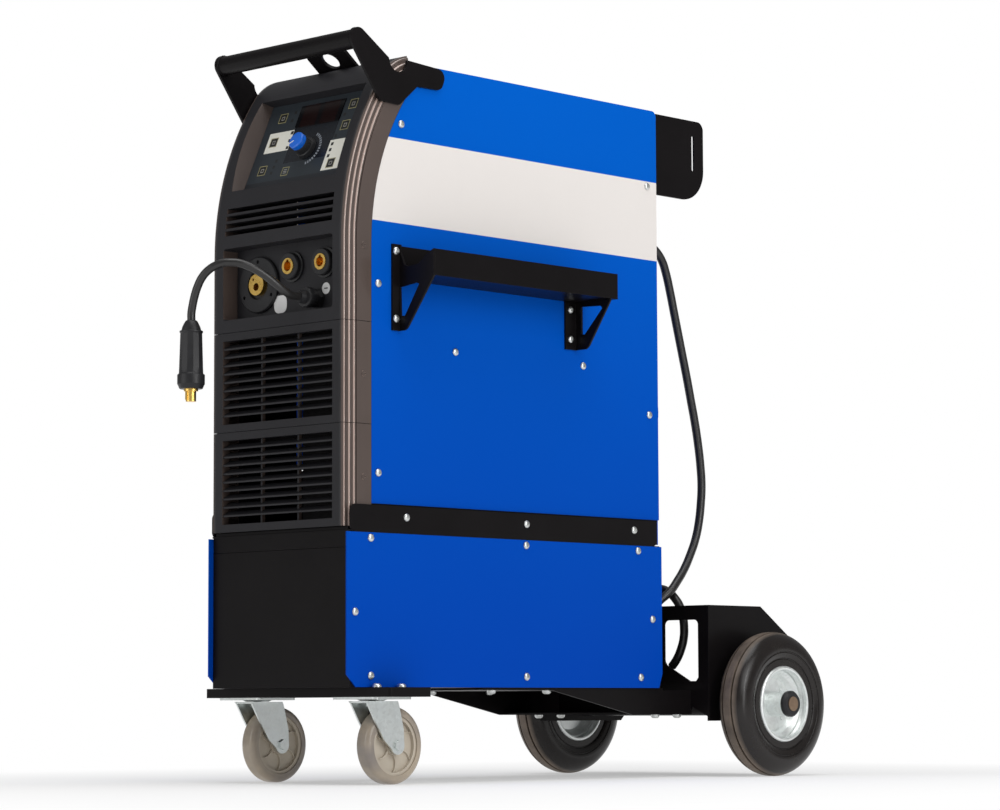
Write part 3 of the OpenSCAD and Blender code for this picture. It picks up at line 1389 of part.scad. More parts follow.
// feeder block with the roll's and the arm's pins and the guide to the torch socket
roll_y = feed_y + 50;
arm_y = feed_y + 14;
arm_z = feed_z + 32;
arm_roll_r = 11;
module wire_feeder() {
    x1 = divider_x - sheet;
    color([0.55, 0.56, 0.58]) from_front() union() {
        box([x1 - 34, feed_y, feed_z - 42], [x1, feed_y + 100, feed_z - 18]);
        box([x1 - 34, feed_y, feed_z - 42], [x1 - 20, feed_y + 100, feed_z + 40]);
        box([roll_x - 8, feed_y, feed_z - 7], [x1 - 33, feed_y + 6, feed_z + 7]);
        y_cyl(bay_plate_y + 34 + gap, feed_y + 1, roll_x, feed_z, 3);
        x_cyl(roll_x - 12, x1 - 33, roll_y, feed_z - roll_r, 5);
        x_cyl(roll_x + 8 + gap, x1 - 33, roll_y, feed_z - roll_r, 9);
        x_cyl(roll_x - 12, x1 - 33, arm_y, arm_z, 4);
    }
}

module feed_roll() {
    color(zinc) from_front() x_turned(roll_x, roll_y, feed_z - roll_r) difference() {
        translate([5 + run_fit, -8]) square([roll_r - 5 - run_fit, 16]);
        translate([roll_r, 0]) circle(1.2);
    }
}

// swinging arm with its fixed counter roll and a spring knob
module pressure_arm() {
    z_roll = feed_z + 0.8 + arm_roll_r;
    color([0.20, 0.20, 0.22]) from_front() difference() {
        union() {
            x_cyl(roll_x - 8, roll_x + 8, arm_y, arm_z, 9);
            hull() {
                x_cyl(roll_x - 6, roll_x + 6, arm_y, arm_z, 7);
                x_cyl(roll_x - 6, roll_x + 6, roll_y + 6, arm_z + 2, 7);
            }
            x_cyl(roll_x - 6, roll_x + 6, roll_y, z_roll, arm_roll_r);
            box([roll_x - 5, roll_y - 9, z_roll], [roll_x + 5, roll_y + 9, arm_z]);
            z_cyl(arm_z + 6, arm_z + 34, roll_x, roll_y + 4, 6);
        }
        x_cyl(roll_x - 9, roll_x + 9, arm_y, arm_z, 4 + run_fit);
    }
}

lower_frame();
lower_panels();
tray_rim();
cross_channel();
rear_carrier();
rear_axle();
hub_caps();
tyre_right();
rim_right();
tyre_left();
rim_left();
caster_plate_right();
caster_fork_right();
caster_bolt_right();
caster_core_right();
caster_tyre_right();
caster_plate_left();
caster_fork_left();
caster_bolt_left();
caster_core_left();
caster_tyre_left();
chassis();
side_panel_right();
side_panel_left();
spool_door();
door_latch();
top_cover();
rear_panel();
handle();
lifting_plate();
strap_plates();
shelf_brackets();
shelf_tray();
control_module();
grille_module_mid();
grille_module_low();
control_panel();
display_window();
knob();
connector_plate();
socket_bodies();
socket_contacts();
polarity_gland();
polarity_lead();
polarity_plug();
plug_pin();
mains_gland();
mains_lead();
mains_coil();
mains_tail();
mains_cores();
screws();
fan_rotor();
power_switch();
gas_inlet();
power_block();
wire_spool();
wire_feeder();
feed_roll();
pressure_arm();
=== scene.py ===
"""Finishes, fine parts, leads and studio for a wire-feed welding machine on its cart."""

import math

import bpy
from bpy.props import FloatProperty, FloatVectorProperty, IntProperty, PointerProperty
from mathutils import Matrix, Vector


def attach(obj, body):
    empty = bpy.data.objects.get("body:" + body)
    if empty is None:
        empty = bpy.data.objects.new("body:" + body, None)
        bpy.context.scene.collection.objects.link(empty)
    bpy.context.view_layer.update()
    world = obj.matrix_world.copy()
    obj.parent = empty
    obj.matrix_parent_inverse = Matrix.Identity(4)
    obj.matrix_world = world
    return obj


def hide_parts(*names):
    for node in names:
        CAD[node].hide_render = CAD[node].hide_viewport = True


bl_info = {
    "name": "Wire-Feed Welder Cart",
    "version": (1, 0, 0),
    "blender": (4, 5, 0),
    "location": "View3D > Sidebar > Welder Cart",
    "description": "Adds finishes, fine parts, leads and a studio to the welding machine's solids",
    "category": "Object",
}

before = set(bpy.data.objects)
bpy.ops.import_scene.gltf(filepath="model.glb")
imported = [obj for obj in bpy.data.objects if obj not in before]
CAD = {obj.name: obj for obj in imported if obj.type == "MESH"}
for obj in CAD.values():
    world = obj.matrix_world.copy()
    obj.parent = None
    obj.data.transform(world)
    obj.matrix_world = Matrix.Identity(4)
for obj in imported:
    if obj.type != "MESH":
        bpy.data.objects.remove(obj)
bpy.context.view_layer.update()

# ------------------------------------------------------------------ sizes shared with the solids

FRONT = -0.424           # the front face in the row frame, metres

# the rest in mm: across from the middle, back from the front face, and up
CAB_SIDE = 127.0         # outer face of the upper side panels
CAB_REAR = 597.0         # outer face of the rear panel
CAB_TOP = 925.0          # outer face of the top cover
BOX_SIDE = 131.0         # outer face of the rim and the lower panels
PANEL_Y, PANEL_Z = 23.78, 768.0          # lower edge of the control panel
PANEL_LEAN = math.radians(66)
KNOB_X, KNOB_UP = 9.0, 55.0              # the knob on the panel, up along its face
BAY_PLATE = 25.0         # face of the connector plate
BAR_LABEL = (66.0, 629.5)
PLAIN_LABEL = (-20.0, 616.5)
GLAND = (51.0, 617.5)
GLAND_MOUTH = -9.0       # front end of the short lead's gland
PLUG = (-27.5, -120.0, 584.0)
WHEEL_Y, WHEEL_Z = 757.0, 100.0          # axle of the rear wheels
SWIVEL_X, SWIVEL_Y = 108.0, 65.5         # swivels of the casters
SPOOL = (-72.0, 440.0, 683.0)
MAINS_D, LEAD_D = 12.0, 10.5
MAINS_MOUTH = (80.0, 617.0, 746.0)       # end of the mains lead's strain relief
TAIL_END = (75.0, 682.0, 153.0)          # where the mains lead's jacket is cut

# coil of the mains lead: middle, lowest middle line, largest radius, first bearing and turns
COIL = (-84.0, 737.0)
COIL_Z = 138.2
COIL_RADIUS = 66.4
COIL_STEP = MAINS_D + 0.8
COIL_START = -150
COIL_TURNS = 85 / 24

# screws by their places back from the front face and up; the rim's share one height
SIDE_UPPER = ((99, 843), (577, 817), (58, 633), (197, 556), (443, 556), (578, 498), (58, 392))
SHELF = ((87, 677), (87, 590), (415.5, 630), (415.5, 590))
RIM, RIM_Z = (104, 326, 540), 337
SIDE_LOWER = ((41, 309), (325, 309), (548, 309), (14, 216), (577, 216), (41, 136.5), (325, 136.5),
              (552, 136.5))

# the camera of the photograph: place, turn to the left, tilt up, roll, focal length and width in pixels
EYE = (3039.4, -2753.2, 94.9)
YAW, PITCH, ROLL = math.radians(43.83), math.radians(5.40), math.radians(-0.223)
FOCAL_PX, WIDTH_PX = 3212, 1000
SENSOR = 36              # width of the sensor, mm


def mm(x, y, z):
    """A point given in millimetres from the front face, in the row frame."""
    return Vector((x / 1000, y / 1000 + FRONT, z / 1000))


# ------------------------------------------------------------------ sizes and colours to change


class CabinetPaint(bpy.types.PropertyGroup):
    blue: FloatVectorProperty(name="Blue", description="Paint of the cabinet", subtype="COLOR",
                              default=(0.0, 0.082, 0.46), min=0, max=1)
    band: FloatVectorProperty(name="Band", description="Printed band round the upper cabinet",
                              subtype="COLOR", default=(0.71, 0.675, 0.65), min=0, max=1)
    black: FloatVectorProperty(name="Black", description="Powder coat of the frame", subtype="COLOR",
                               default=(0.0038, 0.0031, 0.0034), min=0, max=1)
    band_low: FloatProperty(name="Band start", description="Height of the band's lower edge",
                            unit="LENGTH", default=0.714, min=0.6, max=0.8)
    band_high: FloatProperty(name="Band end", description="Height of the band's upper edge",
                             unit="LENGTH", default=0.824, min=0.75, max=0.9)


class FrontLook(bpy.types.PropertyGroup):
    plastic: FloatVectorProperty(name="Moulding", description="Plastic of the front mouldings",
                                 subtype="COLOR", default=(0.017, 0.0165, 0.019), min=0, max=1)
    # also the colour of the painted light on faces that look sideways and, much lighter, of the painted
    # highlights on the ribs
    flank: FloatVectorProperty(name="Side strips", description="Plastic of the ribbed side strips",
                               subtype="COLOR", default=(0.080, 0.059, 0.051), min=0, max=1)
    film: FloatVectorProperty(name="Panel film", description="Printed film of the control panel",
                              subtype="COLOR", default=(0.022, 0.028, 0.034), min=0, max=1)
    knob: FloatVectorProperty(name="Knob cap", description="Cap of the setting knob", subtype="COLOR",
                              default=(0.0, 0.12, 0.62), min=0, max=1)
    brass: FloatVectorProperty(name="Brass", description="Contacts and nipple", subtype="COLOR",
                               default=(0.86, 0.53, 0.10), min=0, max=1)


class Leads(bpy.types.PropertyGroup):
    jacket: FloatVectorProperty(name="Jacket", description="Jacket of both leads", subtype="COLOR",
                                default=(0.009, 0.0085, 0.0085), min=0, max=1)
    flats: IntProperty(name="Grip flats", description="Flats round the plug's barrel",
                       default=12, min=8, max=24)


class Studio(bpy.types.PropertyGroup):
    side: FloatProperty(name="Side light", description="Watts of the light beside the shelf",
                        default=36.0, min=0, max=400)
    strip: FloatProperty(name="Strip light", description="Watts of the narrow light beside the front",
                         default=22.0, min=0, max=400)
    front: FloatProperty(name="Front light", description="Watts of the light before the front",
                         default=20.0, min=0, max=400)
    above: FloatProperty(name="Top light", description="Watts of the light above",
                         default=46.0, min=0, max=400)
    fill: FloatProperty(name="Fill", description="Strength of the light from all round",
                        default=0.24, min=0, max=1)
    floor: FloatVectorProperty(name="Floor", description="Colour of the studio floor", subtype="COLOR",
                               default=(0.90, 0.90, 0.90), min=0, max=1)


def settings():
    return bpy.context.scene.welder_cart


# ------------------------------------------------------------------ shader expressions


class Number:
    """A number that varies over a surface; arithmetic on it adds Math nodes."""

    def __init__(self, finish, socket):
        self.finish = finish
        self.socket = socket

    def math(self, operation, *others, clamp=False):
        options = {"operation": operation, "use_clamp": clamp}
        return self.finish.node("ShaderNodeMath", options, self, *others)[0]

    def __add__(self, other):
        return self.math("ADD", other)

    __radd__ = __add__

    def __sub__(self, other):
        return self.math("SUBTRACT", other)

    def __rsub__(self, other):
        return self.finish.node("ShaderNodeMath", {"operation": "SUBTRACT"}, other, self)[0]

    def __mul__(self, other):
        return self.math("MULTIPLY", other)

    __rmul__ = __mul__

    def __abs__(self):
        return self.math("ABSOLUTE")

    def __pow__(self, other):
        return self.math("POWER", other)

    def high(self, other):
        return self.math("MAXIMUM", other)

    def zigzag(self, reach):
        """Runs up from 0 to reach and down again."""
        return self.math("PINGPONG", reach)

    def over(self, edge, soft):
        """1 where this is above edge, with a soft border."""
        return self.math("MULTIPLY_ADD", 1 / soft, 0.5 - edge / soft, clamp=True)

    def under(self, edge, soft):
        """1 where this is below edge, with a soft border."""
        return self.math("MULTIPLY_ADD", -1 / soft, 0.5 + edge / soft, clamp=True)


class Finish:
    """A procedural material under construction."""

    def __init__(self, name, **sockets):
        self.material = bpy.data.materials.new(name)
        self.material.use_nodes = True
        self.tree = self.material.node_tree
        self.shader = self.tree.nodes["Principled BSDF"]
        self.coords = None
        for key, value in sockets.items():
            self.set(key.replace("_", " ").title().replace("Ior", "IOR"), value)

    def node(self, kind, options=None, *values, **named):
        """Adds a node, sets its options, then values or links of its sockets, and gives its outputs."""
        made = self.tree.nodes.new(kind)
        for key, value in (options or {}).items():
            setattr(made, key, value)
        for socket, value in zip(made.inputs, values):
            self.feed(socket, value)
        for key, value in named.items():
            self.feed(made.inputs[key], value)
        return [Number(self, s) for s in made.outputs]

    def feed(self, socket, value):
        if isinstance(value, Number):
            self.tree.links.new(value.socket, socket)
        elif value is not None:
            if socket.type == "RGBA" and len(value) == 3:
                value = (*value, 1)
            socket.default_value = value

    def set(self, name, value):
        self.feed(self.shader.inputs[name], value)

    def object(self):
        """Object coordinates as one vector."""
        if self.coords is None:
            self.coords = self.node("ShaderNodeTexCoord")[3]
        return self.coords

    def place(self):
        """Object coordinates in millimetres: across, back from the front face, and up."""
        x, y, z = self.node("ShaderNodeSeparateXYZ", {}, self.object())[:3]
        return x * 1000, y * 1000 - FRONT * 1000, z * 1000

    def noise(self, scale, detail=2.0, roughness=0.5, stretch=None):
        """Cloudy variation around 0.5, scale in features per metre."""
        where = self.object()
        if stretch:
            where = self.node("ShaderNodeVectorMath", {"operation": "MULTIPLY"}, where, stretch)[0]
        return self.node("ShaderNodeTexNoise", {}, Vector=where, Scale=scale, Detail=detail,
                         Roughness=roughness)[0]

    def cells(self, scale):
        """One colour for each cell, scale in cells per metre."""
        return self.node("ShaderNodeTexVoronoi", {}, Vector=self.object(), Scale=scale)[1]

    def mix(self, a, b, factor):
        """Colour a where factor is 0 and b where it is 1."""
        made = self.tree.nodes.new("ShaderNodeMix")
        made.data_type = "RGBA"
        self.feed(made.inputs[0], factor)
        self.feed(made.inputs[6], a)
        self.feed(made.inputs[7], b)
        return Number(self, made.outputs[2])

    def bump(self, height, strength, distance=0.001, edge=None):
        """Fine relief; edge is the radius in metres of the softened edges."""
        soft = self.node("ShaderNodeBevel", {"samples": 4}, Radius=edge)[0] if edge else None
        relief = self.node("ShaderNodeBump", {}, Strength=strength, Distance=distance, Height=height,
                           Normal=soft)[0]
        self.set("Normal", relief)

    def done(self):
        return self.material


def shade(colour, k):
    return tuple(min(1.0, c * k) for c in colour)


# ------------------------------------------------------------------ finishes


def cabinet_paint(s, name="cabinet_paint", shade_inside=True):
    """Blue coat with a fine orange peel and the pale printed band; painted light makes the blue lighter
    towards the top and deeper towards the bottom, and painted shade turns the inside faces of the panels near
    black unless turned off.
    """
    f = Finish(name, specular_ior_level=0.03)
    x, y, z = f.place()
    drift = f.noise(3.0, 3.0)
    peel = f.noise(520.0, 2.0)
    # painted light: by height the blue runs from a deeper tone low down to a lighter one at the top
    low = f.mix((0.0, 0.051, 0.40), (0.0, 0.058, 0.43), drift)
    high = f.mix(s.cabinet.blue, (0.0, 0.102, 0.52), drift * 0.5 + z * 0.0008 - 0.3)
    paint = f.mix(low, high, z * 0.00145 - 0.22)
    depth = 1.7          # mm below the outer face where the painted shade inside starts
    band = z.over(s.cabinet.band_low * 1000, 0.4) * z.under(s.cabinet.band_high * 1000, 0.4)
    band = band * abs(x).over(CAB_SIDE - depth - 0.1, 0.3)
    grime = f.noise(26.0, 4.0, 0.6)
    printed = f.mix(shade(s.cabinet.band, 0.975), s.cabinet.band, grime)
    coat = f.mix(paint, printed, band)
    if shade_inside:
        # painted shade: faces inside the cabinet, seen through the grilles and slots, are near black
        inside = abs(x).under(CAB_SIDE - depth, 0.2) * y.under(CAB_REAR - depth, 0.2)
        coat = f.mix(coat, (0.004, 0.004, 0.005), inside * z.under(CAB_TOP - depth, 0.2))
    f.set("Base Color", coat)
    f.set("Roughness", 0.30 + 0.10 * grime + 0.08 * band)
    f.bump(peel, 0.10, 0.0004)
    return f.done()


def frame_coat(s):
    """Satin black powder coat: fine texture, slightly greyer in cloudy patches of dust."""
    f = Finish("frame_coat", specular_ior_level=0.11)
    grain = f.noise(1400.0, 3.0, 0.65)
    dust = f.noise(14.0, 4.0, 0.6)
    f.set("Base Color", f.mix(s.cabinet.black, shade(s.cabinet.black, 1.7), dust))
    f.set("Roughness", 0.26 + 0.14 * dust + 0.06 * grain)
    f.bump(grain, 0.16, 0.0003, edge=0.0009)
    return f.done()


def moulded_front(s):
    """Charcoal moulding with a fine grain.

    The ribbed side strips are a warmer plastic whose colour also holds a painted reflection, and all faces
    that look sideways are painted warmer and lighter as painted light; all of these are smoother. The faces
    of the ribs that are turned halfway to the front carry a painted highlight.
    """
    f = Finish("moulded_front", specular_ior_level=0.2, coat_roughness=0.12)
    x = f.place()[0]
    sideways, backward = f.node("ShaderNodeSeparateXYZ", {}, f.node("ShaderNodeTexCoord")[1])[:2]
    # side strips by place, a warmer plastic with painted reflection; faces that look sideways by their
    # normal, painted light
    flank = abs(x).over(119.8, 1.0).high(abs(sideways).over(0.86, 0.1))
    # painted highlight on the rib faces turned halfway to the front
    painted_rib_highlight = abs(x).over(122.0, 1.0) * backward.under(-0.30, 0.25) * backward.over(-0.86, 0.2)
    grain = f.noise(1900.0, 2.0, 0.6)
    cloud = f.noise(22.0, 3.0)
    base = f.mix(shade(s.front.plastic, 0.9), shade(s.front.plastic, 1.15), cloud)
    side = f.mix(shade(s.front.flank, 0.9), shade(s.front.flank, 1.12), cloud)
    f.set("Base Color", f.mix(f.mix(base, side, flank), shade(s.front.flank, 5.5), painted_rib_highlight))
    f.set("Roughness", 0.44 - 0.12 * flank + 0.08 * cloud)
    f.set("Coat Weight", abs(x).over(117.0, 1.0))
    f.bump(grain, 0.14, 0.00025, edge=0.0007)
    return f.done()


def black_moulding():
    """Smooth black thermoplastic of collars, glands and dials."""
    f = Finish("black_moulding", specular_ior_level=0.3)
    cloud = f.noise(60.0, 4.0, 0.6)
    scratch = f.noise(240.0, 3.0, 0.7, (1.0, 6.0, 1.0))
    f.set("Base Color", f.mix((0.010, 0.010, 0.011), (0.022, 0.022, 0.024), cloud))
    f.set("Roughness", 0.30 + 0.18 * cloud)
    f.bump(scratch, 0.06, 0.0002)
    return f.done()


def turned_brass(s):
    """Bright turned brass with fine tool rings and faint tarnish."""
    f = Finish("turned_brass", metallic=1.0)
    tarnish = f.noise(90.0, 4.0, 0.6)
    rings = f.noise(1500.0, 1.0, 0.4)
    f.set("Base Color", f.mix(s.front.brass, (0.90, 0.62, 0.20), tarnish))
    f.set("Roughness", 0.20 + 0.16 * tarnish)
    f.bump(rings, 0.05, 0.0002)
    return f.done()


def zinc_plate(name="zinc_plate", tint=(0.78, 0.83, 0.83), metallic=1.0):
    """Bright zinc with a faint spangle and a bluish passivation."""
    f = Finish(name, metallic=metallic)
    grey = f.node("ShaderNodeRGBToBW", {}, f.cells(260.0))[0]
    cloud = f.noise(45.0, 3.0, 0.55)
    cool = f.mix(shade(tint, 0.84), tint, grey)
    f.set("Base Color", f.mix(cool, (0.70, 0.69, 0.62), cloud * 0.35))
    f.set("Roughness", 0.24 + 0.16 * grey + 0.10 * cloud)
    f.bump(f.noise(700.0, 2.0), 0.05, 0.0002)
    return f.done()


def milled_alloy():
    """Milled aluminium with straight tool marks."""
    f = Finish("milled_alloy", metallic=1.0)
    marks = f.noise(420.0, 2.0, 0.5, (1.0, 0.08, 1.0))
    cloud = f.noise(30.0, 3.0)
    f.set("Base Color", f.mix((0.50, 0.51, 0.52), (0.62, 0.63, 0.64), cloud))
    f.set("Roughness", 0.32 + 0.14 * marks)
    f.bump(marks, 0.10, 0.0003)
    return f.done()


def wheel_rubber():
    """Black tyre rubber: polished shoulders and a dustier, rougher tread."""
    f = Finish("wheel_rubber", specular_ior_level=0.35)
    _, y, z = f.place()
    back = y - WHEEL_Y
    up = z - WHEEL_Z
    radius = (back * back + up * up) ** 0.5
    tread = radius.over(97.0, 3.0)
    dust = f.noise(34.0, 4.0, 0.65)
    pores = f.noise(1300.0, 2.0, 0.6)
    dusty = dust * 0.04 + tread * dust
    f.set("Base Color", f.mix((0.008, 0.0065, 0.0065), (0.25, 0.195, 0.15), dusty))
    f.set("Roughness", 0.20 + 0.12 * dust + 0.26 * tread)
    f.bump(pores, 0.10, 0.0003)
    return f.done()


def grey_tread():
    """Grey elastic tread of the small casters, browner in cloudy patches."""
    f = Finish("grey_tread", specular_ior_level=0.5, coat_weight=0.3, coat_roughness=0.12)
    cloud = f.noise(50.0, 4.0, 0.6)
    scuff = f.noise(160.0, 3.0, 0.7, (0.3, 1.0, 1.0))
    brown_patches = f.noise(18.0, 3.0, 0.5).over(0.42, 0.5)
    brown = f.mix((0.36, 0.30, 0.23), (0.46, 0.38, 0.28), cloud)
    f.set("Base Color", f.mix((0.13, 0.12, 0.13), brown, brown_patches))
    f.set("Roughness", 0.24 + 0.22 * scuff)
    f.bump(scuff, 0.08, 0.0003)
    return f.done()


def caster_moulding():
    """Beige-grey core of the small casters."""
    f = Finish("caster_moulding", specular_ior_level=0.45)
    cloud = f.noise(42.0, 3.0, 0.6)
    f.set("Base Color", f.mix((0.46, 0.40, 0.32), (0.56, 0.50, 0.41), cloud))
    f.set("Roughness", 0.42 + 0.12 * cloud)
    f.bump(f.noise(900.0, 2.0), 0.06, 0.0002)
    return f.done()


def cable_jacket(s):
    """Dark rubber jacket with a fine drawn surface."""
    f = Finish("cable_jacket", specular_ior_level=0.5)
    cloud = f.noise(70.0, 3.0, 0.6)
    drawn = f.noise(900.0, 2.0, 0.6)
    f.set("Base Color", f.mix(s.leads.jacket, shade(s.leads.jacket, 2.1), cloud))
    f.set("Roughness", 0.26 + 0.14 * cloud)
    f.bump(drawn, 0.10, 0.0002)
    return f.done()


def smoked_window():
    """Dark display lens: its two number fields are faintly redder."""
    f = Finish("smoked_window", specular_ior_level=0.25)
    x = f.place()[0]
    middle, apart, half = 11, 19, 15.0       # the fields: their common middle, each one's offset, half width
    field = abs(abs(x - middle) - apart).under(half, 0.5)
    smear = f.noise(35.0, 3.0, 0.6)
    f.set("Base Color", f.mix((0.004, 0.004, 0.005), (0.010, 0.0045, 0.0045), field))
    f.set("Roughness", 0.10 + 0.10 * smear)
    return f.done()


def panel_film(s):
    """Printed film: slate ground, a darker middle, outlined keys, pale patches, lamps and a dial."""
    f = Finish("panel_film", coat_weight=0.08, coat_roughness=0.22, specular_ior_level=0.3)
    x, y, z = f.place()
    up = (y - PANEL_Y) * math.cos(PANEL_LEAN) + (z - PANEL_Z) * math.sin(PANEL_LEAN)

    def patch(cx, cy, w, h):
        return abs(x - cx).under(w / 2, 0.35) * abs(up - cy).under(h / 2, 0.35)

    def outline(cx, cy, size, line):
        reach = abs(x - cx).high(abs(up - cy))
        return reach.under(size / 2, 0.3) * reach.over(size / 2 - line, 0.3)

    cloud = f.noise(18.0, 3.0)
    ground = f.mix(shade(s.front.film, 0.9), shade(s.front.film, 1.15), cloud)
    middle = patch(11, 82, 84, 88)
    colour = f.mix(ground, (0.010, 0.012, 0.016), middle)
    foot = up.under(13.5, 0.4)
    colour = f.mix(colour, (0.016, 0.018, 0.022), foot)
    pale = patch(-54.5, 74.5, 47, 31).high(patch(66, 39, 32, 46))
    colour = f.mix(colour, (0.70, 0.69, 0.62), pale)
    lamps = ((-34, 74), (-34, 63), (55.5, 56), (55.5, 47), (55.5, 38), (-41, 118), (-43, 106), (-46, 44),
             (-47, 35), (-48, 26), (60, 100), (57, 68))
    keys = ((-63, 112), (-65, 75), (-68, 32), (70, 115), (68, 83), (65, 26))
    dark = patch(-34, 86, 5, 5)
    for cx, cy in lamps:
        dark = dark.high(patch(cx, cy, 4.6, 4.6))
    ring = outline(-21, 25, 13, 0.9)
    sign = patch(-21, 25, 6, 0.9).high(patch(-21, 27.5, 6, 0.9)).high(patch(-21, 22.5, 6, 0.9))
    for cx, cy in keys:
        dark = dark.high(patch(cx, cy, 12.5, 12.5))
        ring = ring.high(outline(cx, cy, 14.6, 0.9))
        sign = sign.high(outline(cx, cy, 5.4, 0.8))
    colour = f.mix(colour, (0.014, 0.014, 0.014), dark)
    colour = f.mix(colour, (0.30, 0.27, 0.13), ring)
    colour = f.mix(colour, (0.34, 0.33, 0.30), sign)
    across = x - KNOB_X
    above = up - KNOB_UP
    radius = (across * across + above * above) ** 0.5
    angle = f.node("ShaderNodeMath", {"operation": "ARCTAN2"}, above, across)[0] * (180 / math.pi)
    tick = angle.zigzag(5.0).over(1.9, 0.5)
    dial = radius.over(21.0, 0.3) * radius.under(25.0, 0.3) * tick * abs(angle + 4).under(74.0, 0.6)
    colour = f.mix(colour, (0.22, 0.24, 0.27), dial)
    f.set("Base Color", colour)
    f.set("Roughness", 0.34 - 0.14 * middle + 0.10 * cloud)
    f.bump(f.noise(1200.0, 2.0), 0.05, 0.0002)
    return f.done()


def plain_finish(name, low, high, roughness, **more):
    """A moulded or printed finish between two close colours."""
    f = Finish(name, **more)
    cloud = f.noise(80.0, 3.0, 0.6)
    f.set("Base Color", f.mix(low, high, cloud))
    f.set("Roughness", roughness + 0.12 * cloud)
    f.bump(f.noise(1100.0, 2.0), 0.05, 0.0002)
    return f.done()


def copper_wire():
    """Close turns of copper-coated wire: a painted highlight along the top of each turn and painted shade in
    the grooves between turns.
    """
    f = Finish("copper_wire", metallic=1.0)
    turn = f.place()[0].zigzag(0.6)
    cloud = f.noise(60.0, 3.0)
    # painted highlight and painted shade: the same ramp that raises each turn makes it lighter on top and
    # darker in the grooves
    f.set("Base Color", f.mix((0.50, 0.20, 0.10), (0.86, 0.44, 0.26), turn * 1.2 + cloud * 0.3))
    f.set("Roughness", 0.26 + 0.12 * cloud)
    f.bump(turn, 0.6, 0.0006)
    return f.done()


def white_label():
    """White round label with one short dark bar, and a plain white square label beside it."""
    f = Finish("white_label", specular_ior_level=0.4)
    x, _, z = f.place()
    bar = abs(x - BAR_LABEL[0]).under(3.4, 0.3) * abs(z - BAR_LABEL[1]).under(0.8, 0.3)
    cloud = f.noise(70.0, 3.0)
    paper = f.mix((0.66, 0.66, 0.66), (0.74, 0.74, 0.73), cloud)
    f.set("Base Color", f.mix(paper, (0.02, 0.02, 0.02), bar))
    f.set("Roughness", 0.38 + 0.1 * cloud)
    f.bump(f.noise(400.0, 2.0), 0.04, 0.0002)
    return f.done()


# ------------------------------------------------------------------ modelling by hand


def clear_selection():
    if bpy.context.object and bpy.context.object.mode != "OBJECT":
        bpy.ops.object.mode_set(mode="OBJECT")
    bpy.ops.object.select_all(action="DESELECT")


def named(name):
    made = bpy.context.object
    made.name = name
    made.data.name = name
    return made


def only(obj):
    clear_selection()
    obj.select_set(True)
    bpy.context.view_layer.objects.active = obj


def settle(obj, recalculate=False):
    """Puts the object's place into its mesh, so that it sits at the origin."""
    only(obj)
    bpy.ops.object.transform_apply(location=True, rotation=True, scale=True)
    if recalculate:
        bpy.ops.object.mode_set(mode="EDIT")
        bpy.ops.mesh.select_all(action="SELECT")
        bpy.ops.mesh.remove_doubles(threshold=1e-6)
        bpy.ops.mesh.normals_make_consistent(inside=False)
        bpy.ops.object.mode_set(mode="OBJECT")
    return obj


def pick(obj, what, test):
    """Selects the faces, edges or vertices whose middle point passes the test, and stays in edit mode."""
    bpy.ops.object.mode_set(mode="EDIT")
    bpy.ops.mesh.select_mode(type={"polygons": "FACE", "edges": "EDGE", "vertices": "VERT"}[what])
    bpy.ops.mesh.select_all(action="DESELECT")
    bpy.ops.object.mode_set(mode="OBJECT")
    mesh = obj.data
    for element in getattr(mesh, what):
        if what == "polygons":
            centre = element.center
        elif what == "edges":
            a, b = (mesh.vertices[i].co for i in element.vertices)
            centre = (a + b) / 2
        else:
            centre = element.co
        element.select = test(centre)
    bpy.ops.object.mode_set(mode="EDIT")


def bevel_edges(obj, width, segments=2, angle=30):
    only(obj)
    modifier = obj.modifiers.new("edge", "BEVEL")
    modifier.width = width
    modifier.segments = segments
    modifier.limit_method = "ANGLE"
    modifier.angle_limit = math.radians(angle)
    bpy.ops.object.modifier_apply(modifier="edge")


def smooth(obj, angle=35):
    only(obj)
    bpy.ops.object.shade_smooth_by_angle(angle=math.radians(angle))


def turned(name, profile, segments=48, close=True):
    """A part turned about Z: one ring extruded along a profile of (radius, height) in mm."""
    clear_selection()
    r, h = profile[0]
    bpy.ops.mesh.primitive_circle_add(vertices=segments, radius=r / 1000, fill_type="NOTHING",
                                      location=(0, 0, 0))
    obj = named(name)
    bpy.ops.object.mode_set(mode="EDIT")
    bpy.ops.mesh.select_all(action="SELECT")
    bpy.ops.transform.translate(value=(0, 0, h / 1000))
    if close:
        bpy.ops.mesh.edge_face_add()
        bpy.ops.object.mode_set(mode="OBJECT")
        pick(obj, "edges", lambda c: True)
    for nr, nh in profile[1:]:
        bpy.ops.mesh.extrude_edges_move(TRANSFORM_OT_translate={"value": (0, 0, (nh - h) / 1000)})
        if abs(nr - r) > 1e-6:
            bpy.ops.transform.resize(value=(nr / r, nr / r, 1), center_override=(0, 0, nh / 1000))
        r, h = nr, nh
    if close:
        bpy.ops.mesh.edge_face_add()
    bpy.ops.mesh.select_all(action="SELECT")
    bpy.ops.mesh.normals_make_consistent(inside=False)
    bpy.ops.object.mode_set(mode="OBJECT")
    return obj


def waves(count, depth):
    """Factor of a radius that dips count times round the axis."""
    return lambda angle: 1 - depth * (0.5 + 0.5 * math.cos(count * angle))


def flute(obj, factor, test):
    """Scales the distance from Z of the points that pass the test by a factor of their angle."""
    for v in obj.data.vertices:
        if test(v.co):
            scale = factor(math.atan2(v.co.y, v.co.x))
            v.co.x *= scale
            v.co.y *= scale


def sink_top(obj, height, depth):
    """Sinks the faces above a height, within a narrow rim."""
    pick(obj, "polygons", lambda c: c.z > height)
    bpy.ops.mesh.inset(thickness=0.0003, depth=0)
    bpy.ops.mesh.extrude_region_move(TRANSFORM_OT_translate={"value": (0, 0, -depth)})
    bpy.ops.object.mode_set(mode="OBJECT")


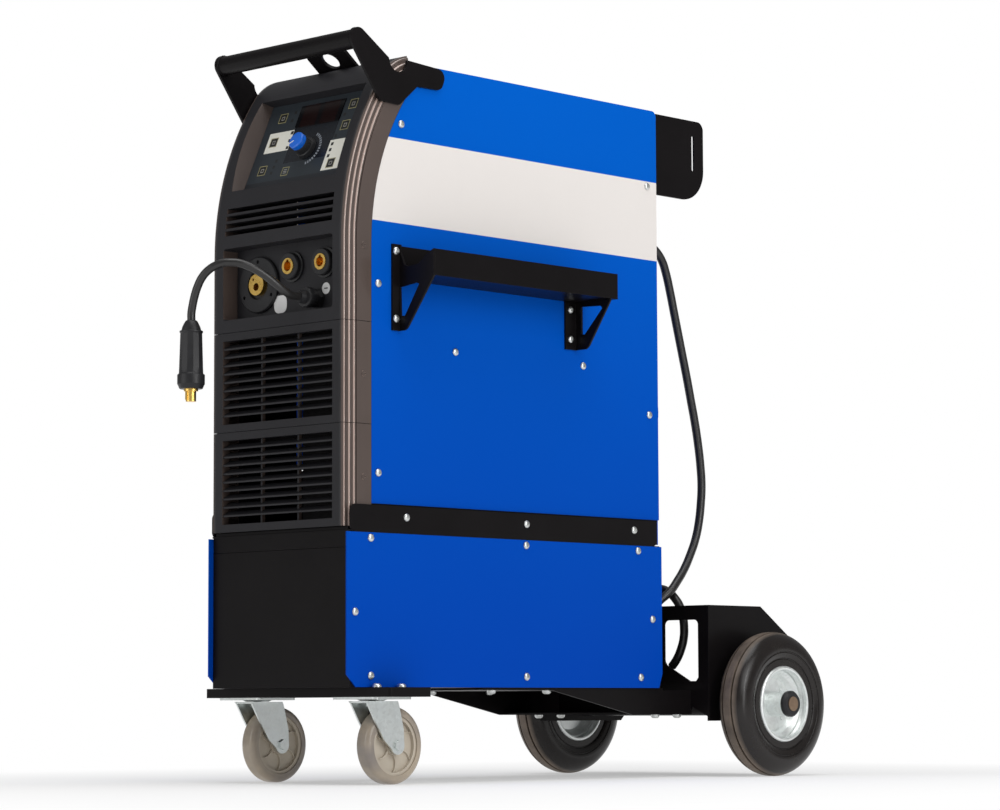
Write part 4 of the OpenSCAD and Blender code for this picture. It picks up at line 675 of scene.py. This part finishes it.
def facing(obj, direction, at, roll=0.0):
    """Turns a part made about Z so that Z points along direction, and puts it at a point."""
    turn = Vector(direction).to_track_quat("Z", "Y").to_matrix().to_4x4() @ Matrix.Rotation(roll, 4, "Z")
    obj.matrix_world = Matrix.Translation(at) @ turn
    return settle(obj)


def copies(obj, places, name):
    """Copies of a part at other places, each with its own mesh, joined with it into one piece."""
    made = []
    for place in places:
        other = obj.copy()
        other.data = obj.data.copy()
        bpy.context.collection.objects.link(other)
        other.matrix_world = place
        settle(other)
        made.append(other)
    bpy.data.objects.remove(obj)
    clear_selection()
    for other in made:
        other.select_set(True)
    bpy.context.view_layer.objects.active = made[0]
    if len(made) > 1:
        bpy.ops.object.join()
    joined = bpy.context.object
    joined.name = name
    joined.data.name = name
    return joined


def dress(obj, material):
    obj.data.materials.clear()
    obj.data.materials.append(material)
    return obj


def place_on(body, obj, material):
    dress(obj, material)
    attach(obj, body)
    return obj


def hose(name, points, diameter, resolution=6):
    """A round lead: one open Bezier spline through the points."""
    clear_selection()
    bpy.ops.curve.primitive_bezier_curve_add(location=(0, 0, 0))
    obj = named(name)
    curve = obj.data
    spline = curve.splines[0]
    spline.bezier_points.add(len(points) - len(spline.bezier_points))
    for knot, point in zip(spline.bezier_points, points):
        knot.co = point
        knot.handle_left_type = knot.handle_right_type = "AUTO"
    curve.dimensions = "3D"
    curve.bevel_depth = diameter / 2
    curve.bevel_resolution = 4
    curve.resolution_u = resolution
    curve.use_fill_caps = True
    return obj


def run_length(points):
    """Length of a smooth line through points: each chord is longer by its bend."""
    total = 0.0
    for i in range(len(points) - 1):
        a, b = Vector(points[i]), Vector(points[i + 1])
        before = Vector(points[i - 1]) if i else a
        after = Vector(points[i + 2]) if i + 2 < len(points) else b
        chord = (b - a).length
        bend = 0.0
        if i and i + 2 < len(points):
            bend = ((b - a).angle(a - before) + (after - b).angle(b - a)) / 2
        total += chord * (1 + bend * bend / 24)
    return total


# ------------------------------------------------------------------ operators


class WELDER_OT_coat(bpy.types.Operator):
    """Gives every solid of the machine and the cart its finish"""

    bl_idname = "welder.coat"
    bl_label = "Coat the solids"

    def execute(self, context):
        s = settings()
        blue = cabinet_paint(s)
        black = frame_coat(s)
        front = moulded_front(s)
        moulding = black_moulding()
        zinc = zinc_plate()
        brass = turned_brass(s)
        alloy = milled_alloy()
        jacket = cable_jacket(s)
        steel = plain_finish("aged_steel", (0.16, 0.10, 0.065), (0.34, 0.24, 0.16), 0.34, metallic=0.6)
        caster_parts = [f"caster_{part}_{side}" for part in ("plate", "fork", "bolt")
                        for side in ("right", "left")]
        finishes = {
            blue: ["lower_panels", "side_panel_right", "side_panel_left", "top_cover", "rear_panel"],
            cabinet_paint(s, "door_paint", shade_inside=False): ["spool_door"],
            black: ["lower_frame", "tray_rim", "cross_channel", "rear_carrier", "chassis", "handle",
                    "lifting_plate", "strap_plates", "shelf_brackets", "shelf_tray"],
            front: ["control_module", "grille_module_mid", "grille_module_low", "connector_plate"],
            moulding: ["socket_bodies", "polarity_gland", "polarity_plug", "mains_gland", "hub_caps",
                       "door_latch", "fan_rotor", "power_switch", "wire_spool", "pressure_arm", "knob"],
            steel: ["rear_axle"],
            zinc_plate("bright_rims", (0.95, 0.99, 0.99), 0.75): ["rim_right", "rim_left"],
            zinc: ["screws", "feed_roll"] + caster_parts,
            brass: ["socket_contacts", "plug_pin", "gas_inlet"],
            alloy: ["power_block", "wire_feeder"],
            jacket: ["polarity_lead", "mains_lead", "mains_coil", "mains_tail", "mains_cores"],
            wheel_rubber(): ["tyre_right", "tyre_left"],
            grey_tread(): ["caster_tyre_right", "caster_tyre_left"],
            caster_moulding(): ["caster_core_right", "caster_core_left"],
            panel_film(s): ["control_panel"],
            smoked_window(): ["display_window"],
        }
        coated = set()
        for material, nodes in finishes.items():
            for node in nodes:
                dress(CAD[node], material)
                coated.add(node)
        left = set(CAD) - coated
        if left:
            raise RuntimeError(f"no finish for {sorted(left)}")
        return {"FINISHED"}


def polarity_route():
    """Middle line of the short lead: out of its gland, over in an arch and down to its plug."""
    x, z = GLAND
    return [mm(*p) for p in (
        (x, GLAND_MOUTH, z), (x, -20, z), (51, -33, 622), (49, -46, 630), (45, -58, 638.5), (40, -69, 645.5),
        (34, -79, 651), (27.5, -88, 654.5), (20, -96, 655.5), (13, -102, 655), (5.5, -108, 652),
        (-2.5, -113, 646.5), (-10, -117, 638), (-17, -119, 626), (-22, -120, 613), (-25.5, -120, 602),
        (PLUG[0], PLUG[1], 593), PLUG)]


def coil_points():
    """The coiled stretch in four layers of up to one turn each, and its headings at both ends."""

    def clamp(v):
        return min(1.0, max(0.0, v))

    def bearing(u):
        return math.radians(COIL_START - 360 * u)

    def point(u):
        radius = COIL_RADIUS - COIL_STEP + COIL_STEP * abs(u - 2 * math.floor(u / 2) - 1)
        climb = clamp(2 * u - 1.5) + clamp(2 * u - 3.5) + clamp(2 * u - 5.5)
        return Vector((COIL[0] + radius * math.cos(bearing(u)), COIL[1] + radius * math.sin(bearing(u)),
                       COIL_Z + COIL_STEP * climb))

    def heading(u):
        return Vector((math.sin(bearing(u)), -math.cos(bearing(u)), 0))

    first = point(0) - MAINS_D * heading(0)
    last = point(COIL_TURNS) + MAINS_D * heading(COIL_TURNS)
    turns = [first] + [point(k / 24) for k in range(round(24 * COIL_TURNS) + 1)] + [last]
    return turns, heading(0), heading(COIL_TURNS)


def mains_route():
    """Middle line of the mains lead: long bow, run behind the box, coil and last arch."""
    turns, way_in, way_out = coil_points()
    bow = [Vector(p) for p in (
        MAINS_MOUTH, (80, 625, 746), (80, 638, 744), (80, 651, 737), (80, 662, 726), (80, 670, 710),
        (80, 679, 683), (80, 687, 655), (80, 696, 624), (80, 705, 593), (80, 714, 562), (80, 722, 532),
        (80, 730, 502), (80, 737, 470), (80, 742, 438), (80, 744, 410), (80, 742, 385), (80, 738, 361),
        (81, 729, 335), (82, 715, 310), (83, 700, 289), (84, 684, 272), (84, 668, 257), (80, 657, 248),
        (74, 648, 239), (60, 631, 221), (40, 618, 204), (17, 610, 189), (-8, 607, 176), (-33, 609, 165),
        (-58, 617, 155), (-82, 631, 149), (-107, 648, 146), (-124, 667, 142))]
    arch = [Vector(p) for p in (
        (-18, 724, 179), (-16, 712, 185), (-14, 702, 194), (-11, 694, 206), (-7, 688, 218), (-2, 685, 231),
        (6, 683, 243), (17, 682, 253), (30, 682, 259), (44, 682, 262), (58, 682, 262), (71, 682, 257),
        (82, 682, 248), (91, 682, 236), (96, 682, 222), (98, 682, 207), (97, 682, 192), (92, 682, 177),
        (84, 682, 163), TAIL_END)]
    whole = bow + [turns[0] - 9 * way_in] + turns + [turns[-1] + 6 * way_out] + arch
    return [mm(*p) for p in whole]


def core_start(angle, out):
    """A point on one core's middle line, out mm past the end of the mains lead's jacket."""
    a = math.radians(angle)
    ahead = Vector((-0.669, 0, -0.7433))
    sideways = Vector((0.7433, 0, -0.669))
    ring = 2.4 * math.cos(a) * Vector((0, 1, 0)) + 2.4 * math.sin(a) * sideways
    return Vector(TAIL_END) + ring + out * ahead


class WELDER_OT_leads(bpy.types.Operator):
    """Lays the short lead with its plug and the mains lead with its coil and stripped end"""

    bl_idname = "welder.leads"
    bl_label = "Lay the leads"

    def execute(self, context):
        s = settings()
        jacket = cable_jacket(s)
        flats = s.leads.flats

        # plug: domed boot, a barrel with flats that widens downwards, and a collar
        barrel = turned("plug_barrel", [(6.3, 0), (7.6, 1.2), (9.2, 4), (11.2, 8), (12.3, 12), (12.6, 13.2),
                                        (14.8, 13.5), (14.8, 15.6), (14.0, 16.4), (15.3, 60), (15.6, 67),
                                        (16.2, 68.4), (17.4, 69), (17.4, 81), (16.4, 82.6), (15.2, 85.5),
                                        (14.4, 87)])

        def flattened(angle):
            across = (angle * flats / (2 * math.pi)) % 1.0 - 0.5
            return math.cos(math.pi / flats) / math.cos(across * 2 * math.pi / flats)

        flute(barrel, flattened, lambda c: 0.0163 < c.z < 0.0672)
        bevel_edges(barrel, 0.0004, 2, 40)
        smooth(barrel, 28)
        facing(barrel, (0, 0, -1), mm(*PLUG))
        place_on("cart", barrel, black_moulding())
        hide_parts("polarity_plug")

        lead = hose("polarity_cable", polarity_route(), LEAD_D / 1000)
        place_on("cart", lead, jacket)
        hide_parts("polarity_lead")
        mm(GLAND[0], GLAND_MOUTH, GLAND[1])
        round(run_length(polarity_route()), 3)

        # three insulated cores: bearing round the lead's end, two close colours, and the way after the start
        cores = []
        for name, angle, low, high, way in (
                ("core_green_yellow", 0, (0.02, 0.26, 0.10), (0.05, 0.36, 0.14),
                 ((70, 685, 143), (74, 684, 137.5), (82, 682, 135), (92, 680, 134.2), (102, 679, 134.2))),
                ("core_brown", 120, (0.10, 0.035, 0.018), (0.16, 0.06, 0.03),
                 ((72, 678, 141), (76, 675, 136.5), (84, 673, 134.6), (94, 671, 134.2), (106, 670, 134.2))),
                ("core_blue", 240, (0.01, 0.05, 0.30), (0.02, 0.09, 0.42),
                 ((63, 680, 149), (55, 679, 150), (47, 678, 154)))):
            route = (core_start(angle, 0), core_start(angle, 5)) + way
            core = hose(name, [mm(*p) for p in route], 0.0035, 8)
            place_on("cart", core, plain_finish(name, low, high, 0.30))
            cores.append(core)
        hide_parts("mains_cores")

        cable = hose("mains_cable", mains_route(), MAINS_D / 1000)
        place_on("cart", cable, jacket)
        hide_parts("mains_lead", "mains_coil", "mains_tail")

        # tie round the coil
        tie = turned("coil_tie", [(32, -4), (34, -4.4), (34, 4.4), (32, 4)], segments=64, close=False)
        only(tie)
        tie.scale = (0.5, 1.02, 1)
        bpy.ops.object.transform_apply(scale=True)
        thick = tie.modifiers.new("wall", "SOLIDIFY")
        thick.thickness = 0.0012
        bpy.ops.object.modifier_apply(modifier="wall")
        facing(tie, (0, 1, 0), mm(COIL[0] + 60, COIL[1], 157.4), math.radians(90))
        strap = plain_finish("tie_strap", (0.012, 0.012, 0.012), (0.02, 0.02, 0.02), 0.55)
        place_on("cart", tie, strap)

        mm(*MAINS_MOUTH)
        round(run_length(mains_route()), 3)
        cores + [tie]
        return {"FINISHED"}


class WELDER_OT_knob(bpy.types.Operator):
    """Models the setting knob with its fluted skirt, cap and pointer"""

    bl_idname = "welder.knob"
    bl_label = "Model the knob"

    def execute(self, context):
        s = settings()
        out = Vector((0, -math.sin(PANEL_LEAN), math.cos(PANEL_LEAN)))
        along = Vector((0, math.cos(PANEL_LEAN), math.sin(PANEL_LEAN)))
        at = mm(KNOB_X, PANEL_Y, PANEL_Z) + along * KNOB_UP / 1000
        skirt = turned("knob_skirt", [(2.9, -14), (2.9, 1.8), (15.3, 1.9), (15.4, 2.8), (14.6, 7.4),
                                      (13.4, 8.2), (12.9, 16.2), (12.6, 17)], segments=72)
        flute(skirt, waves(18, 0.035), lambda c: c.z > 0.0078)
        smooth(skirt, 40)
        facing(skirt, out, at)
        place_on("setting_knob", skirt, black_moulding())
        cap = turned("knob_cap", [(11.9, 17), (12.0, 17.6), (11.9, 23.6), (11.2, 24.6), (10.2, 25.0),
                                  (4, 25.0)], segments=64)
        bevel_edges(cap, 0.0003, 2, 30)
        smooth(cap, 40)
        facing(cap, out, at)
        shell = plain_finish("knob_cap", shade(s.front.knob, 0.9), s.front.knob, 0.28,
                             coat_weight=0.3, coat_roughness=0.2)
        place_on("setting_knob", cap, shell)
        clear_selection()
        bpy.ops.mesh.primitive_cube_add(size=1, location=(0, 0, 0))
        mark = named("knob_mark")
        mark.scale = (0.0014, 0.0085, 0.0006)
        bpy.ops.object.transform_apply(scale=True)
        bevel_edges(mark, 0.0002, 2)
        turn = Matrix((Vector((1, 0, 0)), along, out)).transposed().to_4x4()
        points_at = Matrix.Rotation(math.radians(118), 4, "Z")
        mark.matrix_world = (Matrix.Translation(at + out * 0.0250) @ turn @ points_at
                             @ Matrix.Translation((0, 0.0068, 0)))
        settle(mark)
        paint = plain_finish("knob_mark", (0.68, 0.68, 0.66), (0.74, 0.74, 0.72), 0.4)
        place_on("setting_knob", mark, paint)
        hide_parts("knob")
        return {"FINISHED"}


class WELDER_OT_screws(bpy.types.Operator):
    """Models a pan-head screw with a lobed recess and a button-head bolt, and sets them in their places"""

    bl_idname = "welder.screws"
    bl_label = "Set the screws"

    def execute(self, context):
        screw = turned("screw_head", [(4.9, 0), (5.2, 0.35), (5.15, 1.0), (4.7, 1.75), (3.9, 2.4), (3.0, 2.8),
                                      (2.3, 2.95)], segments=24)
        sink_top(screw, 0.0029, 0.0014)
        flute(screw, waves(6, 0.16), lambda c: math.hypot(c.x, c.y) < 0.00205 and c.z > 0.001)
        smooth(screw, 40)
        places = []

        def add(x, y, z, side, roll):
            turn = Matrix.Rotation(math.radians(90 * side), 4, "Y") @ Matrix.Rotation(roll, 4, "Z")
            places.append(Matrix.Translation(mm(x * side, y, z)) @ turn)

        for k, (y, z) in enumerate(SIDE_UPPER):
            add(CAB_SIDE, y, z, 1, k * 0.4)
            if y < 130 or y > 570:
                add(CAB_SIDE, y, z, -1, k * 0.7)
        for k, (y, z) in enumerate(SHELF):
            add(CAB_SIDE + 3, y, z, 1, k * 0.5)
        for side in (1, -1):
            for k, y in enumerate(RIM):
                add(BOX_SIDE, y, RIM_Z, side, k * 0.3)
            for k, (y, z) in enumerate(SIDE_LOWER):
                add(BOX_SIDE, y, z, side, k * 0.6)
        heads = copies(screw, places, "screw_heads")
        zinc = zinc_plate("screw_zinc", (0.70, 0.72, 0.72))
        place_on("cart", heads, zinc)

        # button-head bolts, upright on the casters' plates and hanging under the box and the carrier
        bolt = turned("bolt_head", [(6.0, 0), (6.0, 2.2), (5.6, 3.6), (4.6, 5.0), (3.4, 5.8), (2.8, 6.0)],
                      segments=24)
        sink_top(bolt, 0.0059, 0.0024)
        smooth(bolt, 40)
        flat = Matrix.Diagonal((1, 1, 5 / 6, 1))
        down = Matrix.Rotation(math.pi, 4, "X") @ flat
        places = []
        for side in (1, -1):
            for dy in (-21.5, 21.5):
                for dx, z in ((-31, 124), (31, 122)):
                    places.append(Matrix.Translation(mm(side * (SWIVEL_X + dx), SWIVEL_Y + dy, z)) @ flat)
            for y in (282, 388, 502):
                places.append(Matrix.Translation(mm(side * 108, y, 119)) @ down)
            for y in (605, 651):
                places.append(Matrix.Translation(mm(side * 110, y, 86)) @ down)
        bolts = copies(bolt, places, "bolt_heads")
        place_on("cart", bolts, zinc)
        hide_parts("screws")
        return {"FINISHED"}


class WELDER_OT_fittings(bpy.types.Operator):
    """Adds the small labels, the ridged nut of the gland, weld beads and the wire on the spool"""

    bl_idname = "welder.fittings"
    bl_label = "Add small fittings"

    def execute(self, context):
        s = settings()
        label = white_label()
        disc = turned("bar_label", [(7.3, 0), (7.5, 0.15), (7.5, 0.3), (7.3, 0.4)], segments=48)
        facing(disc, (0, -1, 0), mm(BAR_LABEL[0], BAY_PLATE - 0.05, BAR_LABEL[1]))
        place_on("cart", disc, label)
        clear_selection()
        bpy.ops.mesh.primitive_plane_add(size=1, location=(0, 0, 0))
        square = named("plain_label")
        square.scale = (0.024, 0.023, 1)
        bpy.ops.object.transform_apply(scale=True)
        bpy.ops.object.mode_set(mode="EDIT")
        bpy.ops.mesh.select_all(action="SELECT")
        bpy.ops.mesh.bevel(offset=0.0085, segments=7, affect="VERTICES")
        bpy.ops.mesh.select_all(action="SELECT")
        bpy.ops.mesh.extrude_region_move(TRANSFORM_OT_translate={"value": (0, 0, 0.0004)})
        bpy.ops.object.mode_set(mode="OBJECT")
        facing(square, (0, -1, 0), mm(PLAIN_LABEL[0], BAY_PLATE - 0.05, PLAIN_LABEL[1]))
        settle(square, recalculate=True)
        place_on("cart", square, label)

        # ridged nut of the short lead's gland
        nut = turned("gland_nut", [(9.9, 0), (12.6, 0.6), (13.2, 1.6), (13.2, 12), (12.6, 13), (9.9, 13.4)])
        flute(nut, waves(12, 0.05), lambda c: math.hypot(c.x, c.y) > 0.0125)
        smooth(nut, 30)
        facing(nut, (0, -1, 0), mm(GLAND[0], 14, GLAND[1]))
        place_on("cart", nut, black_moulding())

        # weld beads where the grip meets its plates
        bead = turned("grip_bead", [(12.3, 0), (13.2, 0.1), (14.0, 0.5), (14.3, 1.1), (13.9, 1.6),
                                    (12.3, 2.2)], segments=72)
        flute(bead, lambda angle: 1 + 0.018 * math.sin(26 * angle), lambda c: True)
        smooth(bead, 60)
        places = [Matrix.Translation(mm(side * (CAB_SIDE + 0.1), 20.5, 943.5))
                  @ Matrix.Rotation(math.radians(-90 * side), 4, "Y") for side in (1, -1)]
        beads = copies(bead, places, "grip_beads")
        place_on("cart", beads, frame_coat(s))

        # wound wire between the spool's flanges
        rows = [(79.0 + 0.5 * math.sin(k * 2.4), 2 * k - 22) for k in range(23)]
        wire = turned("wound_wire", [(76.5, -22.6)] + rows + [(76.5, 22.6)], segments=64)
        smooth(wire, 60)
        facing(wire, (1, 0, 0), mm(*SPOOL))
        place_on("spool", wire, copper_wire())
        return {"FINISHED"}


class WELDER_OT_studio(bpy.types.Operator):
    """Sets up the floor, the lights, the surroundings and the camera"""

    bl_idname = "welder.studio"
    bl_label = "Set up the studio"

    def execute(self, context):
        s = settings().studio
        scene = bpy.context.scene
        clear_selection()
        bpy.ops.mesh.primitive_circle_add(vertices=96, radius=40, fill_type="NGON", location=(0, 0, 0))
        floor = named("studio_floor")
        f = Finish("studio_floor", roughness=0.9, specular_ior_level=0.1)
        f.set("Base Color", f.mix(shade(s.floor, 0.99), s.floor, f.noise(2.0, 2.0)))
        plain = f.node("ShaderNodeEmission", {}, Color=(1, 1, 1), Strength=1.0)[0]
        x, y = f.node("ShaderNodeSeparateXYZ", {}, f.object())[:2]
        # away from the cart the floor turns to plain white
        far = (abs(x) - 0.2).high(abs(y) - 0.5).over(0.35, 0.9) * 0.6 + 0.4
        shown = f.node("ShaderNodeMixShader", {}, far, Number(f, f.shader.outputs[0]), plain)[0]
        f.tree.links.new(shown.socket, f.tree.nodes["Material Output"].inputs["Surface"])
        dress(floor, f.done())

        # white surroundings: full for the camera, weaker as light
        world = bpy.data.worlds.new("studio")
        scene.world = world
        world.use_nodes = True
        tree = world.node_tree
        tree.nodes.clear()
        rays = tree.nodes.new("ShaderNodeLightPath")
        seen = tree.nodes.new("ShaderNodeMath")
        seen.operation = "MAXIMUM"
        tree.links.new(rays.outputs["Is Camera Ray"], seen.inputs[0])
        tree.links.new(rays.outputs["Is Transmission Ray"], seen.inputs[1])
        level = tree.nodes.new("ShaderNodeMath")
        level.operation = "MULTIPLY_ADD"
        level.inputs[1].default_value = 1 - s.fill
        level.inputs[2].default_value = s.fill
        tree.links.new(seen.outputs[0], level.inputs[0])
        back = tree.nodes.new("ShaderNodeBackground")
        back.inputs[0].default_value = (1, 1, 1, 1)
        tree.links.new(level.outputs[0], back.inputs[1])
        out = tree.nodes.new("ShaderNodeOutputWorld")
        tree.links.new(back.outputs[0], out.inputs[0])

        def lamp(name, at, target, size, height, watts):
            clear_selection()
            bpy.ops.object.light_add(type="AREA", location=at)
            light = bpy.context.object
            light.name = name
            light.data.shape = "RECTANGLE"
            light.data.size = size
            light.data.size_y = height
            light.data.energy = watts
            light.rotation_euler = (Vector(at) - Vector(target)).to_track_quat("Z", "Y").to_euler()

        middle = (0, 0, 0.5)
        lamp("side_softbox", (3.1, -0.5, 1.9), middle, 2.4, 2.0, s.side)
        lamp("side_strip", (3.2, -0.3, 0.8), middle, 0.16, 2.6, s.strip)
        lamp("front_softbox", (-0.9, -3.2, 1.3), middle, 2.0, 2.0, s.front)
        lamp("top_softbox", (0.5, -0.3, 3.0), middle, 2.2, 2.2, s.above)

        ahead = Vector((-math.sin(YAW) * math.cos(PITCH), math.cos(YAW) * math.cos(PITCH), math.sin(PITCH)))
        right = Vector((math.cos(YAW), math.sin(YAW), 0))
        above = right.cross(ahead)
        across = right * math.cos(ROLL) + above * math.sin(ROLL)
        upright = above * math.cos(ROLL) - right * math.sin(ROLL)
        clear_selection()
        bpy.ops.object.camera_add(location=mm(*EYE))
        camera = bpy.context.object
        look = Matrix((across, upright, -ahead)).transposed().to_4x4()
        camera.matrix_world = Matrix.Translation(mm(*EYE)) @ look
        camera.data.lens = SENSOR * FOCAL_PX / WIDTH_PX
        camera.data.sensor_width = SENSOR
        camera.data.clip_start = 0.05
        camera.data.clip_end = 100
        scene.camera = camera
        scene.view_settings.view_transform = "Standard"
        return {"FINISHED"}


class WelderCart(bpy.types.PropertyGroup):
    cabinet: PointerProperty(type=CabinetPaint, name="Cabinet",
                             description="Paint of the cabinet and the frame")
    front: PointerProperty(type=FrontLook, name="Front", description="Front mouldings, panel and contacts")
    leads: PointerProperty(type=Leads, name="Leads", description="Both leads and the plug")
    studio: PointerProperty(type=Studio, name="Studio", description="Lights and floor")


STEPS = (WELDER_OT_coat, WELDER_OT_leads, WELDER_OT_knob, WELDER_OT_screws, WELDER_OT_fittings,
         WELDER_OT_studio)


class WELDER_PT_cart(bpy.types.Panel):
    """Colours, lights and steps of the welding machine on its cart"""

    bl_idname = "WELDER_PT_cart"
    bl_label = "Welder Cart"
    bl_space_type = "VIEW_3D"
    bl_region_type = "UI"
    bl_category = "Welder Cart"

    def draw(self, context):
        s = settings()
        for name in ("cabinet", "front", "leads", "studio"):
            box = self.layout.box()
            box.label(text=name.title())
            group = getattr(s, name)
            for key in group.__annotations__:
                box.prop(group, key)
        for step in STEPS:
            self.layout.operator(step.bl_idname)


CLASSES = (CabinetPaint, FrontLook, Leads, Studio, WelderCart) + STEPS + (WELDER_PT_cart,)


def register():
    for c in CLASSES:
        bpy.utils.register_class(c)
    bpy.types.Scene.welder_cart = PointerProperty(type=WelderCart)


def unregister():
    del bpy.types.Scene.welder_cart
    for c in reversed(CLASSES):
        bpy.utils.unregister_class(c)


def main():
    register()
    bpy.ops.welder.coat()
    bpy.ops.welder.leads()
    bpy.ops.welder.knob()
    bpy.ops.welder.screws()
    bpy.ops.welder.fittings()
    bpy.ops.welder.studio()


if __name__ == "__main__":
    main()
